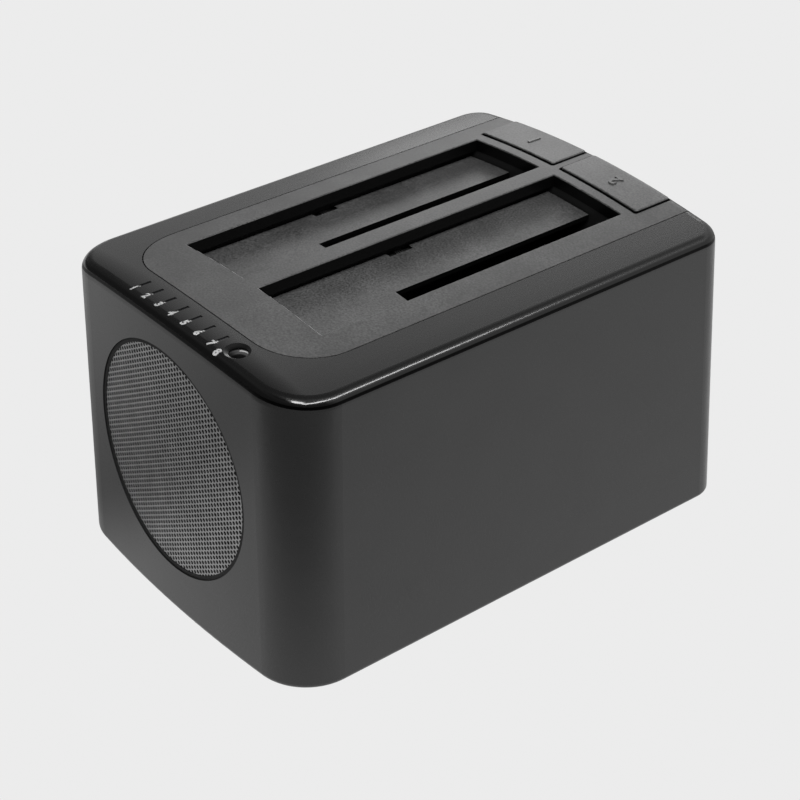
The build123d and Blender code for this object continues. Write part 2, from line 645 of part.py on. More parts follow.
# Rear data port: pressed sheet shell with a contact tongue
port_rear = rear_face(port_high) - PORT_SETBACK
with BuildPart() as data_port:
    with BuildSketch(Plane.XZ.offset(-port_rear)):
        with Locations((PORT_X, BOARD_TOP + PORT_HEIGHT / 2)):
            RectangleRounded(PORT_WIDTH, PORT_HEIGHT, 0.8)
    extrude(amount=PORT_LENGTH)
    with BuildSketch(Plane.XZ.offset(-port_rear)):
        with Locations((PORT_X, BOARD_TOP + PORT_HEIGHT / 2)):
            Rectangle(PORT_WIDTH - 2 * PORT_SHEET, PORT_HEIGHT - 2 * PORT_SHEET)
            Rectangle(PORT_TONGUE_WIDTH, PORT_TONGUE_HEIGHT, mode=Mode.SUBTRACT)
    extrude(amount=PORT_MOUTH_DEPTH, mode=Mode.SUBTRACT)

# Power jack: block with a round mouth and a centre pin
jack_rear = rear_face(jack_high) - PORT_SETBACK
with BuildPart() as power_jack:
    with BuildSketch(Plane.XZ.offset(-jack_rear)):
        with Locations((JACK_X, BOARD_TOP + JACK_HEIGHT / 2)):
            Rectangle(JACK_WIDTH, JACK_HEIGHT)
    extrude(amount=JACK_LENGTH)
    with BuildSketch(Plane.XZ.offset(-jack_rear)):
        with Locations((JACK_X, BOARD_TOP + JACK_HEIGHT / 2)):
            Circle(JACK_BORE_RADIUS)
            Circle(JACK_PIN_RADIUS, mode=Mode.SUBTRACT)
    extrude(amount=JACK_BORE_DEPTH, mode=Mode.SUBTRACT)

# Power switch: snap-in body, and a rocker that tips on a cross pin
with BuildPart() as switch_body:
    with BuildSketch(switch_plane):
        RectangleRounded(SWITCH_WIDTH + 2 * SWITCH_FLANGE_LIP, SWITCH_HEIGHT + 2 * SWITCH_FLANGE_LIP, 1.2)
    extrude(amount=SWITCH_FLANGE)
    with BuildSketch(switch_plane):
        Rectangle(SWITCH_WIDTH, SWITCH_HEIGHT)
    extrude(amount=-SWITCH_DEPTH)
    with BuildSketch(switch_plane.offset(SWITCH_FLANGE)):
        Rectangle(SWITCH_WIDTH - 2 * SWITCH_WALL, SWITCH_HEIGHT - 2 * SWITCH_WALL)
    extrude(amount=-SWITCH_FLANGE - ROCKER_CAVITY, mode=Mode.SUBTRACT)
rocker_pivot = switch_plane.offset(-ROCKER_PIVOT_DEPTH).origin
rocker_rise = math.atan2(1, -REAR_LEAN) - math.radians(ROCKER_TILT)
rocker_plane = Plane(
    origin=rocker_pivot, x_dir=(0, math.cos(rocker_rise), math.sin(rocker_rise)), z_dir=(1, 0, 0)
)
pin_half = SWITCH_WIDTH / 2 - SWITCH_WALL
with BuildPart() as switch_pin:
    with BuildSketch(rocker_plane.offset(-pin_half)):
        Circle(ROCKER_PIN_RADIUS)
    extrude(amount=2 * pin_half)
with BuildPart() as power_rocker:
    out = -ROCKER_PIVOT_DEPTH - SWITCH_FLANGE
    back = ROCKER_BACK - ROCKER_PIVOT_DEPTH
    back_half = ROCKER_HALF - 0.8
    with BuildSketch(rocker_plane.offset(-pin_half + LOOSE_GAP)):
        with BuildLine():
            Polyline(
                (-ROCKER_HALF, out - ROCKER_CROWN), (-back_half, back),
                (back_half, back), (ROCKER_HALF, out - ROCKER_CROWN),
            )
            ThreePointArc(
                (ROCKER_HALF, out - ROCKER_CROWN), (0, out - ROCKER_WAIST), (-ROCKER_HALF, out - ROCKER_CROWN)
            )
        make_face()
        Circle(ROCKER_PIN_RADIUS + RUNNING_GAP, mode=Mode.SUBTRACT)
    extrude(amount=2 * (pin_half - LOOSE_GAP))

# Fan bracket behind the grille, with its screws
with BuildPart() as fan_bracket:
    with BuildSketch(Plane.XZ.offset(FAN_FRONT)):
        with Locations((0, GRILLE_CENTRE_Z)):
            RectangleRounded(BRACKET_WIDTH, BRACKET_HEIGHT, BRACKET_CORNER)
            Circle(FAN_BORE_RADIUS, mode=Mode.SUBTRACT)
        with Locations(*BRACKET_SCREWS, *FAN_HOLES):
            Circle(SCREW_RADIUS + SEAT_GAP, mode=Mode.SUBTRACT)
    extrude(amount=BRACKET_THICKNESS)
bracket_screws = screws(
    [(-x, z) for x, z in BRACKET_SCREWS],
    Plane(origin=(0, -FAN_FRONT, 0), x_dir=(-1, 0, 0), z_dir=(0, 1, 0)),
    BRACKET_SCREW_LENGTH,
    head=2.0,
)

# Fan: square frame with a motor cup on spokes, a bearing, and a bladed impeller on its shaft
with BuildPart() as fan_frame:
    with BuildSketch(Plane.XZ.offset(FAN_REAR)):
        with Locations((0, GRILLE_CENTRE_Z)):
            RectangleRounded(FAN_SIZE, FAN_SIZE, FAN_CORNER)
            Circle(FAN_BORE_RADIUS, mode=Mode.SUBTRACT)
        with Locations(*FAN_HOLES):
            Circle(SCREW_RADIUS + SEAT_GAP, mode=Mode.SUBTRACT)
    extrude(amount=FAN_DEPTH)
    with BuildSketch(Plane.XZ.offset(FAN_REAR)):
        with Locations((0, GRILLE_CENTRE_Z)):
            with PolarLocations(0, 4, start_angle=45):
                Rectangle(FAN_SIZE, FAN_SPOKE)
            Circle(FAN_BORE_RADIUS + FAN_SPOKE / 4, mode=Mode.INTERSECT)
            Circle(FAN_HUB_RADIUS)
    extrude(amount=FAN_MOTOR_PLATE)
    bearing_front = -FAN_REAR - FAN_BEARING_LENGTH
    bearing_rear = -FAN_REAR - FAN_MOTOR_PLATE / 2
    add(along_y(FAN_BEARING_RADIUS + FAN_HUB_WALL, 0, GRILLE_CENTRE_Z, bearing_front, -FAN_REAR))
    add(along_y(FAN_BEARING_RADIUS, 0, GRILLE_CENTRE_Z, -FAN_FRONT, bearing_rear), mode=Mode.SUBTRACT)
with BuildPart() as fan_bearing:
    add(along_y(FAN_BEARING_RADIUS, 0, GRILLE_CENTRE_Z, bearing_front, bearing_rear))
    add(along_y(FAN_SHAFT_RADIUS + RUNNING_GAP, 0, GRILLE_CENTRE_Z, -FAN_FRONT, 0), mode=Mode.SUBTRACT)
hub_front = -FAN_FRONT + LOOSE_GAP
hub_rear = hub_front + FAN_HUB_DEPTH
with BuildPart() as fan_impeller:
    add(along_y(FAN_HUB_RADIUS, 0, GRILLE_CENTRE_Z, hub_front, hub_rear))
    fillet(fan_impeller.edges().group_by(Axis.Y)[0], FAN_HUB_WALL)
    hub_floor = hub_front + 2 * FAN_HUB_WALL
    add(
        along_y(FAN_HUB_RADIUS - FAN_HUB_WALL, 0, GRILLE_CENTRE_Z, hub_floor, hub_rear + 1),
        mode=Mode.SUBTRACT,
    )
    add(along_y(FAN_SHAFT_RADIUS, 0, GRILLE_CENTRE_Z, hub_front, bearing_rear - SEAT_GAP))
    blade_middle = (hub_front + hub_rear) / 2
    for index in range(FAN_BLADES):
        angle = math.radians(360 / FAN_BLADES * index)
        outward = Vector(math.cos(angle), 0, math.sin(angle))
        blade_root = FAN_HUB_RADIUS - FAN_HUB_WALL / 2
        for reach, pitch in ((blade_root, FAN_ROOT_PITCH), (FAN_BLADE_RADIUS, FAN_TIP_PITCH)):
            centre = Vector(0, blade_middle, GRILLE_CENTRE_Z) + outward * reach
            lean = math.radians(pitch)
            round_hub = Vector(-math.sin(angle), 0, math.cos(angle))
            chord = round_hub * math.cos(lean) + Vector(0, math.sin(lean), 0)
            section = Plane(origin=centre, x_dir=chord, z_dir=outward)
            with BuildSketch(section):
                Rectangle(FAN_BLADE_CHORD, FAN_BLADE_THICKNESS)
        loft(ruled=True)
    with BuildSketch(Plane.XZ.offset(-REACH)):
        with Locations((0, GRILLE_CENTRE_Z)):
            Circle(FAN_BLADE_RADIUS)
    extrude(amount=2 * REACH, mode=Mode.INTERSECT)
fan_screws = screws(
    [(-x, z) for x, z in FAN_HOLES],
    Plane(origin=(0, -FAN_REAR, 0), x_dir=(-1, 0, 0), z_dir=(0, 1, 0)),
    FAN_DEPTH + BRACKET_THICKNESS,
)

# Front board with its lights, light pipes and clone switch
front_board_centre = (
    (FRONT_BOARD_LEFT + FRONT_BOARD_RIGHT) / 2,
    -(FRONT_BOARD_NEAR + FRONT_BOARD_FAR) / 2,
)
with BuildPart() as front_board:
    with BuildSketch(Plane.XY.offset(FRONT_BOARD_BOTTOM)):
        with Locations(front_board_centre):
            Rectangle(FRONT_BOARD_RIGHT - FRONT_BOARD_LEFT, FRONT_BOARD_NEAR - FRONT_BOARD_FAR)
        with Locations((POST_LEFT, -POST_Y), (POST_RIGHT, -POST_Y)):
            Circle(SCREW_RADIUS + SEAT_GAP, mode=Mode.SUBTRACT)
    extrude(amount=BOARD_THICKNESS)
front_board_screws = screws(
    [(POST_LEFT, POST_Y), (POST_RIGHT, POST_Y)],
    Plane(origin=(0, 0, FRONT_BOARD_BOTTOM), x_dir=(1, 0, 0), z_dir=(0, 0, -1)),
    POST_SCREW_LENGTH,
    head=2.0,
)
with BuildPart() as status_leds:
    with BuildSketch(Plane.XY.offset(FRONT_BOARD_TOP)):
        with Locations(*LIGHT_PLACES):
            Rectangle(LED_SIZE / 2, LED_SIZE)
    extrude(amount=LED_HEIGHT)
with BuildPart() as light_pipes:
    with BuildSketch(Plane.XY.offset(FRONT_BOARD_TOP + LED_HEIGHT + LIGHT_FOOT_GAP)):
        with Locations(*LIGHT_PLACES):
            Rectangle(LIGHT_WIDTH, LIGHT_LENGTH)
    extrude(amount=TOTAL_HEIGHT - FRONT_BOARD_TOP)
    with BuildSketch(Plane.XY.offset(LIGHT_BAR_BOTTOM)):
        with Locations((0, -LIGHT_ROW_Y)):
            Rectangle((LIGHT_COUNT - 1) * LIGHT_PITCH + LIGHT_WIDTH, LIGHT_BAR_WIDTH)
    extrude(amount=LIGHT_BAR_HEIGHT)
    add(under_crown(LIGHT_RECESS), mode=Mode.INTERSECT)

# Clone button: domed cap with a flange under the cover, its plunger and its switch
button_top = crown_height(BUTTON_X) - BUTTON_STAND
flange_top = crown_height(BUTTON_X + BUTTON_FLANGE_RADIUS, COVER_SKIN) - SEAT_GAP
plunger_low = FRONT_BOARD_TOP + SWITCH_CELL_HEIGHT - PLUNGER_HEIGHT + BUTTON_TRAVEL + SEAT_GAP
plunger_high = plunger_low + PLUNGER_HEIGHT
with BuildPart() as clone_button:
    with BuildSketch(Plane(origin=(BUTTON_X, -LIGHT_ROW_Y, 0), x_dir=(1, 0, 0), z_dir=(0, -1, 0))):
        with BuildLine():
            low = flange_top - BUTTON_FLANGE_THICKNESS
            Polyline(
                (0, button_top), (0, plunger_high),
                (BUTTON_STEM_RADIUS, plunger_high), (BUTTON_STEM_RADIUS, low),
                (BUTTON_FLANGE_RADIUS, low), (BUTTON_FLANGE_RADIUS, flange_top), (BUTTON_RADIUS, flange_top),
                (BUTTON_RADIUS, button_top - BUTTON_DOME),
            )
            TangentArc((0, button_top), (BUTTON_RADIUS, button_top - BUTTON_DOME), tangent=(1, 0))
        make_face()
    revolve(axis=Axis((BUTTON_X, -LIGHT_ROW_Y, 0), (0, 0, 1)))
with BuildPart() as clone_plunger:
    with BuildSketch(Plane.XY.offset(plunger_low)):
        with Locations((BUTTON_X, -LIGHT_ROW_Y)):
            Circle(PLUNGER_RADIUS)
    extrude(amount=PLUNGER_HEIGHT)
with BuildPart() as clone_switch:
    with BuildSketch(Plane.XY.offset(FRONT_BOARD_TOP)):
        with Locations((BUTTON_X, -LIGHT_ROW_Y)):
            Rectangle(SWITCH_CELL_SIZE, SWITCH_CELL_SIZE - 1)
    extrude(amount=SWITCH_CELL_HEIGHT)
    with BuildSketch(Plane.XY.offset(FRONT_BOARD_TOP + SWITCH_CELL_HEIGHT)):
        with Locations((BUTTON_X, -LIGHT_ROW_Y)):
            Circle(PLUNGER_RADIUS + RUNNING_GAP)
    extrude(amount=-PLUNGER_HEIGHT, mode=Mode.SUBTRACT)

pieces = {
    "main_shell": shell_with_seat,
    "front_grille": front_grille,
    "top_cover": top_cover,
    "bay_insert": bay_insert,
    "base_plate": base_plate,
    "rubber_feet": rubber_feet,
    "base_screws": base_screws,
    "main_board": main_board,
    "board_screws": board_screws,
    "control_chips": control_chips,
    "capacitors": capacitors,
    "inductors": inductors,
    "data_port": data_port,
    "power_jack": power_jack,
    "switch_body": switch_body,
    "switch_pin": switch_pin,
    "power_rocker": power_rocker,
    "fan_bracket": fan_bracket,
    "bracket_screws": bracket_screws,
    "fan_frame": fan_frame,
    "fan_bearing": fan_bearing,
    "fan_impeller": fan_impeller,
    "fan_screws": fan_screws,
    "front_board": front_board,
    "front_board_screws": front_board_screws,
    "status_leds": status_leds,
    "light_pipes": light_pipes,
    "clone_button": clone_button,
    "clone_plunger": clone_plunger,
    "clone_switch": clone_switch,
}

# The parts of each bay, made once for the left and once for the right
well_screw_places = []
for side_name, side in (("left", -1), ("right", 1)):
    bay_x = side * BAY_PITCH / 2
    bay_left = bay_x - BAY_WIDTH / 2
    bay_right = bay_x + BAY_WIDTH / 2
    hinge_x = bay_left - FLAP_PIN_INSET
    hinge_z = crown_height(hinge_x, FLAP_DROP) - BARREL_RADIUS
    lever_x = bay_x + STEM_OFFSET_X
    key_x = side * KEY_CENTRE_X
    socket_x = bay_right - SOCKET_FROM_WALL
    inner_left = bay_left - HINGE_POCKET
    inner_right = bay_right + WELL_STEP
    window_half = LEVER_WIDTH / 2 + LEVER_SIDE_GAP
    under_insert = under_crown(INSERT_THICKNESS)

    # Bay well: guide box with a floor, a screwed flange, stem shelves and lever ears
    with BuildPart() as bay_well:
        add(
            block(
                (inner_left - WELL_WALL, inner_right + WELL_WALL),
                (WELL_FRONT, WELL_REAR),
                (WELL_FLOOR - WELL_FLOOR_THICKNESS, TOTAL_HEIGHT),
            )
        )
        flange_low = crown_height(bay_x, INSERT_THICKNESS + WELL_FLANGE_THICKNESS)
        add(
            block(
                (bay_x - BAY_WIDTH / 2, bay_x + BAY_WIDTH / 2),
                (WELL_FRONT - WELL_FLANGE, WELL_FRONT + WELL_WALL / 2),
                (flange_low - 0.5, TOTAL_HEIGHT),
            )
        )
        shelf_x = (lever_x - SHELF_HALF_WIDTH, lever_x + SHELF_HALF_WIDTH)
        for shelf_top in (UPPER_SHELF_TOP, LOWER_SHELF_TOP):
            add(
                block(
                    shelf_x,
                    (WELL_REAR - WELL_WALL / 2, STEM_Y + SHELF_REACH),
                    (shelf_top - SHELF_THICKNESS, shelf_top),
                )
            )
        for across in (-1, 1):
            ear = lever_x + across * (window_half + LEVER_EAR / 2)
            add(
                block(
                    (ear - LEVER_EAR / 2, ear + LEVER_EAR / 2),
                    (WELL_REAR - WELL_WALL / 2, LEVER_PIVOT_Y + LEVER_EAR_REACH),
                    (LEVER_PIVOT_Z - LEVER_EAR_REACH, LEVER_PIVOT_Z + LEVER_EAR_REACH),
                )
            )
        add(under_insert, mode=Mode.INTERSECT)
        add(
            block(
                (inner_left, inner_right),
                (WELL_FRONT + WELL_WALL, WELL_REAR - WELL_WALL),
                (WELL_FLOOR, TOTAL_HEIGHT),
            ),
            mode=Mode.SUBTRACT,
        )
        add(
            block(
                (lever_x - window_half, lever_x + window_half),
                (LEVER_TIP_Y - 1.5, WELL_REAR + LOOSE_GAP),
                (WELL_FLOOR - 2 * WELL_FLOOR_THICKNESS, LEVER_WINDOW_TOP),
            ),
            mode=Mode.SUBTRACT,
        )
        add(
            block(
                (socket_x - SOCKET_WIDTH / 2 - LOOSE_GAP, socket_x + SOCKET_WIDTH / 2 + LOOSE_GAP),
                (SOCKET_Y - SOCKET_LENGTH / 2 - LOOSE_GAP, SOCKET_Y + SOCKET_LENGTH / 2 + LOOSE_GAP),
                (WELL_FLOOR - 2 * WELL_FLOOR_THICKNESS, WELL_FLOOR + 1),
            ),
            mode=Mode.SUBTRACT,
        )
        with BuildSketch(Plane.XY.offset(LOWER_SHELF_TOP - SHELF_THICKNESS - 1)):
            with Locations((lever_x, STEM_Y)):
                Circle(STEM_RADIUS + 2 * RUNNING_GAP)
        extrude(amount=UPPER_SHELF_TOP - LOWER_SHELF_TOP + SHELF_THICKNESS + 2, mode=Mode.SUBTRACT)
        add(
            along_y(FLAP_PIN_RADIUS + PILOT_GAP, hinge_x, hinge_z, WELL_FRONT - 1, WELL_REAR + 1),
            mode=Mode.SUBTRACT,
        )
        with BuildSketch(Plane.YZ.offset(lever_x - window_half - 2 * LEVER_EAR)):
            with Locations((LEVER_PIVOT_Y, LEVER_PIVOT_Z)):
                Circle(LEVER_PIN_RADIUS + PILOT_GAP)
        extrude(amount=2 * window_half + 4 * LEVER_EAR, mode=Mode.SUBTRACT)
        for across in (-1, 1):
            x = bay_x + across * WELL_SCREW_SPACING / 2
            with BuildSketch(Plane.XY.offset(FRONT_BOARD_BOTTOM)):
                with Locations((x, WELL_FRONT - WELL_FLANGE / 2)):
                    Circle(SCREW_RADIUS + SEAT_GAP)
            extrude(amount=TOTAL_HEIGHT - FRONT_BOARD_BOTTOM, mode=Mode.SUBTRACT)
    well_screw_places.append((bay_x, flange_low - 0.5))

    # Dust flap: L-shaped crowned plate with two hinge knuckles
    plate_front = BAY_FRONT + FLAP_EDGE_GAP
    plate_rear = BAY_REAR - FLAP_EDGE_GAP
    plate_right = bay_right - FLAP_EDGE_GAP
    notch_left = bay_right - SMALL_SLOT_WIDTH
    notch_front = BAY_REAR - SMALL_SLOT_LENGTH
    with BuildPart() as flap:
        with BuildSketch(Plane.XY.offset(FRONT_BOARD_BOTTOM)):
            with BuildLine():
                Polyline(
                    (hinge_x, plate_front), (plate_right, plate_front), (plate_right, notch_front),
                    (notch_left, notch_front), (notch_left, plate_rear), (hinge_x, plate_rear),
                    close=True,
                )
            make_face()
        extrude(amount=TOTAL_HEIGHT - FRONT_BOARD_BOTTOM)
        add(under_crown(FLAP_DROP), mode=Mode.INTERSECT)
        add(under_crown(FLAP_DROP + FLAP_THICKNESS), mode=Mode.SUBTRACT)
        add(along_y(BARREL_RADIUS, hinge_x, hinge_z, plate_front, plate_rear))
        add(
            block(
                (hinge_x - 2 * BARREL_RADIUS, bay_left),
                (-FLAP_SPRING_WINDOW / 2, FLAP_SPRING_WINDOW / 2),
                (hinge_z - 2 * BARREL_RADIUS, TOTAL_HEIGHT),
            ),
            mode=Mode.SUBTRACT,
        )
        add(
            along_y(FLAP_PIN_RADIUS + RUNNING_GAP, hinge_x, hinge_z, plate_front - 1, plate_rear + 1),
            mode=Mode.SUBTRACT,
        )
    with BuildPart() as flap_pin:
        add(along_y(FLAP_PIN_RADIUS, hinge_x, hinge_z, WELL_FRONT, WELL_REAR))

    # Flap spring: close coil round the pin with a leg down the pocket wall
    coil_radius = FLAP_PIN_RADIUS + 1.5 * FLAP_SPRING_WIRE + RUNNING_GAP
    coil_pitch = 3 * FLAP_SPRING_WIRE
    coil_length = FLAP_SPRING_TURNS * coil_pitch
    coil_middle = (hinge_x, -coil_length / 2, hinge_z)
    with BuildPart() as wound_coil:
        with BuildLine() as coil:
            Helix(coil_pitch, coil_length, coil_radius, center=coil_middle, direction=(0, 1, 0))
        coil_start = Plane(origin=coil.line @ 0, z_dir=coil.line % 0)
        with BuildSketch(coil_start):
            Rectangle(FLAP_SPRING_WIRE * 1.8, FLAP_SPRING_WIRE * 1.8)
        sweep(is_frenet=True)
        with BuildSketch(coil_start):
            Rectangle(FLAP_SPRING_WIRE * 1.8, FLAP_SPRING_WIRE * 1.8)
        extrude(amount=-FLAP_SPRING_LEG)
    with BuildPart() as flap_spring:
        add(wound_coil.part.rotate(Axis(coil_middle, (0, 1, 0)), -90))

    # Eject key: crowned cap with a skirt, and a long stem down to the lever
    stem_low = LEVER_PIVOT_Z + LEVER_TAIL_RISE + LEVER_TAIL_ROUND + LOOSE_GAP
    key_limits_x = (key_x - KEY_WIDTH / 2, key_x + KEY_WIDTH / 2)
    key_low = crown_height(key_x) - KEY_SKIRT
    key_ceiling = crown_height(KEY_CENTRE_X + KEY_WIDTH / 2) + KEY_PROUD - KEY_TOP_THICKNESS
    with BuildPart() as eject_key:
        add(block(key_limits_x, (KEY_FRONT, KEY_REAR), (key_low, TOTAL_HEIGHT + 1), KEY_CORNER))
        add(outer_body.part.moved(Location((0, 0, KEY_PROUD))), mode=Mode.INTERSECT)
        fillet(eject_key.faces().sort_by(Axis.Z)[-1].edges(), KEY_EDGE_ROUND)
        with BuildSketch(Plane.XY.offset(key_low)):
            with Locations((key_x, (KEY_FRONT + KEY_REAR) / 2)):
                Rectangle(KEY_WIDTH - 2 * KEY_SKIRT_WALL, KEY_REAR - KEY_FRONT - 2 * KEY_SKIRT_WALL)
        extrude(amount=key_ceiling - key_low, mode=Mode.SUBTRACT)
        with BuildSketch(Plane.XY.offset(stem_low)):
            with Locations((lever_x, STEM_Y)):
                Circle(STEM_RADIUS)
        extrude(amount=crown_height(lever_x) - KEY_TOP_THICKNESS / 2 - stem_low)
    spring_seat = 1.5 * KEY_SPRING_WIRE
    spring_length = key_ceiling - UPPER_SHELF_TOP - 2 * spring_seat
    with BuildPart() as key_spring:
        with BuildLine() as coil:
            Helix(
                spring_length / KEY_SPRING_TURNS,
                spring_length,
                KEY_SPRING_RADIUS,
                center=(lever_x, STEM_Y, UPPER_SHELF_TOP + spring_seat),
            )
        with BuildSketch(Plane(origin=coil.line @ 0, z_dir=coil.line % 0)):
            Rectangle(2 * KEY_SPRING_WIRE, 2 * KEY_SPRING_WIRE)
        sweep(is_frenet=True)

    # Eject lever: bell crank with a foot in the floor slot and a tail under the stem
    with BuildPart() as eject_lever:
        lever_plane = Plane.YZ.offset(lever_x - LEVER_WIDTH / 2)
        foot_high = WELL_FLOOR - LOOSE_GAP
        foot_low = foot_high - LEVER_BAR
        with BuildSketch(lever_plane):
            with Locations((LEVER_PIVOT_Y, LEVER_PIVOT_Z)):
                Circle(LEVER_HUB_RADIUS)
            with Locations((STEM_Y, LEVER_PIVOT_Z + LEVER_TAIL_RISE)):
                Circle(LEVER_TAIL_ROUND)
            with BuildLine():
                Polyline(
                    (LEVER_PIVOT_Y - LEVER_HUB_RADIUS, LEVER_PIVOT_Z),
                    (LEVER_PIVOT_Y - LEVER_HUB_RADIUS, foot_high),
                    (LEVER_TIP_Y + LEVER_BAR / 2, foot_high),
                    (LEVER_TIP_Y, foot_high - LEVER_BAR / 2),
                    (LEVER_TIP_Y + LEVER_BAR / 2, foot_low),
                    (LEVER_PIVOT_Y - LEVER_BAR / 2, foot_low),
                    (LEVER_PIVOT_Y + LEVER_HUB_RADIUS / 2, LEVER_PIVOT_Z - LEVER_HUB_RADIUS / 2),
                    close=True,
                )
            make_face()
            with BuildLine():
                Polyline(
                    (LEVER_PIVOT_Y, LEVER_PIVOT_Z + LEVER_TAIL_ROUND),
                    (STEM_Y, LEVER_PIVOT_Z + LEVER_TAIL_RISE),
                    (STEM_Y, LEVER_PIVOT_Z + LEVER_TAIL_RISE - LEVER_TAIL_ROUND),
                    (LEVER_PIVOT_Y, LEVER_PIVOT_Z - LEVER_TAIL_ROUND),
                    close=True,
                )
            make_face()
            with Locations((LEVER_PIVOT_Y, LEVER_PIVOT_Z)):
                Circle(LEVER_PIN_RADIUS + RUNNING_GAP, mode=Mode.SUBTRACT)
        extrude(amount=LEVER_WIDTH)
    with BuildPart() as lever_pin:
        with BuildSketch(Plane.YZ.offset(lever_x - window_half - LEVER_EAR)):
            with Locations((LEVER_PIVOT_Y, LEVER_PIVOT_Z)):
                Circle(LEVER_PIN_RADIUS)
        extrude(amount=2 * (window_half + LEVER_EAR))

    # Drive socket: upright housing with a data slot and a power slot
    with BuildPart() as drive_socket:
        with BuildSketch(Plane.XY.offset(BOARD_TOP)):
            with Locations((socket_x, SOCKET_Y)):
                RectangleRounded(SOCKET_WIDTH, SOCKET_LENGTH, 0.8)
        extrude(amount=SOCKET_HEIGHT)
        gap_to_end = (SOCKET_LENGTH - SOCKET_DATA_SLOT - SOCKET_POWER_SLOT) / 3
        with BuildSketch(Plane.XY.offset(BOARD_TOP + SOCKET_HEIGHT)):
            with Locations((socket_x, SOCKET_Y - SOCKET_LENGTH / 2 + gap_to_end + SOCKET_POWER_SLOT / 2)):
                Rectangle(SOCKET_SLOT_WIDTH, SOCKET_POWER_SLOT)
            with Locations((socket_x, SOCKET_Y + SOCKET_LENGTH / 2 - gap_to_end - SOCKET_DATA_SLOT / 2)):
                Rectangle(SOCKET_SLOT_WIDTH, SOCKET_DATA_SLOT)
        extrude(amount=-SOCKET_SLOT_DEPTH, mode=Mode.SUBTRACT)

    pieces[side_name + "_bay_well"] = bay_well
    pieces[side_name + "_flap"] = flap
    pieces[side_name + "_flap_pin"] = flap_pin
    pieces[side_name + "_flap_spring"] = flap_spring
    pieces[side_name + "_eject_key"] = eject_key
    pieces[side_name + "_key_spring"] = key_spring
    pieces[side_name + "_eject_lever"] = eject_lever
    pieces[side_name + "_lever_pin"] = lever_pin
    pieces[side_name + "_drive_socket"] = drive_socket

# Well screws: up through each well's front flange into the insert
with BuildPart() as well_screws:
    for bay_x, flange_low in well_screw_places:
        group = screws(
            [(bay_x + across * WELL_SCREW_SPACING / 2, WELL_FLANGE / 2 - WELL_FRONT) for across in (-1, 1)],
            Plane(origin=(0, 0, flange_low), x_dir=(1, 0, 0), z_dir=(0, 0, -1)),
            WELL_FLANGE_THICKNESS + INSERT_THICKNESS / 2,
            head=2.0,
        )
        add(group.part)
pieces["well_screws"] = well_screws

for name, piece in pieces.items():
    piece.part.label = name
    export_step(piece.part, f"parts/{name}.step")
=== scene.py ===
"""Looks for a twin-bay drive dock, laid out as an add-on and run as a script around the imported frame."""

import json
import math

import bmesh
import bpy
from mathutils import Matrix, Vector


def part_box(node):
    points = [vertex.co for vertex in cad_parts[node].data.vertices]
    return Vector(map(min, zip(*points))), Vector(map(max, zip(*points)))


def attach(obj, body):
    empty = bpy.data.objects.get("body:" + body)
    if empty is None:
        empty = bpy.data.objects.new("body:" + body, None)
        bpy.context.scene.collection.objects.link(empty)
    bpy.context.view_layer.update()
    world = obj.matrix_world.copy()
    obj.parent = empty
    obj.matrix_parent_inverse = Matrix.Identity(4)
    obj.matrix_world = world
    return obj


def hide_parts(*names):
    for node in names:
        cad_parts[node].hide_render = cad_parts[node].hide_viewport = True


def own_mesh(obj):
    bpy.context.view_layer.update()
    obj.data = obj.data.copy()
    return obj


bl_info = {
    "name": "Twin-bay drive dock looks",
    "version": (1, 0, 0),
    "blender": (4, 5, 0),
    "location": "3D View > Sidebar > Dock",
    "description": "Finishes, perforated grille, markings and studio for a twin-bay drive dock",
    "category": "Object",
}

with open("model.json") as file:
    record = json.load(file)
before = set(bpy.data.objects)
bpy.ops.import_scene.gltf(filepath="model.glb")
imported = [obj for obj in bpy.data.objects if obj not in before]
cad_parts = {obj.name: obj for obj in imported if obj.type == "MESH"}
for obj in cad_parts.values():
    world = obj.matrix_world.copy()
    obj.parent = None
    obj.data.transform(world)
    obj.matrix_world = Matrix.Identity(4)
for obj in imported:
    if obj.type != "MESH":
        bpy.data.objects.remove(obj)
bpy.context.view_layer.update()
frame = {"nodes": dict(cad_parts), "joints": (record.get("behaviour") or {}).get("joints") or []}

MM = 0.001

# Form of the body, as the shell and cover are built
CROWN_RADIUS = 320 * MM
CROWN_TOP = 93.7 * MM
BOW_RADIUS = 446 * MM
FRONT_LEAN = 3.0 / 92.5
ROLL_START = -65.5 * MM
ROLL_RADIUS = 36 * MM
OPENING_FRONT = -47.5 * MM
KEY_RISE = 0.5 * MM
SIDES = ("left", "right")

# Grille place, from the frame
grille_low, grille_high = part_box("front_grille")
GRILLE_CENTRE = (grille_low + grille_high) / 2
GRILLE_RADIUS = (grille_high.x - grille_low.x) / 2

# Status lights, and the contacts in the data port: height from its middle, count and pitch
LIGHT_COUNT = 7
LIGHT_WIDTH = 0.9 * MM
CONTACT_ROWS = ((1.62 * MM, 5, 1.0 * MM), (-1.62 * MM, 2, 2.0 * MM))

# Noise lies mostly between these two values
NOISE_LOW, NOISE_HIGH = 0.3, 0.7


def grey(level):
    """Colour without a hue."""
    return (level, level, level)


def crown_z(x):
    """Height of the crowned top at x."""
    return CROWN_TOP - CROWN_RADIUS + math.sqrt(CROWN_RADIUS**2 - x**2)


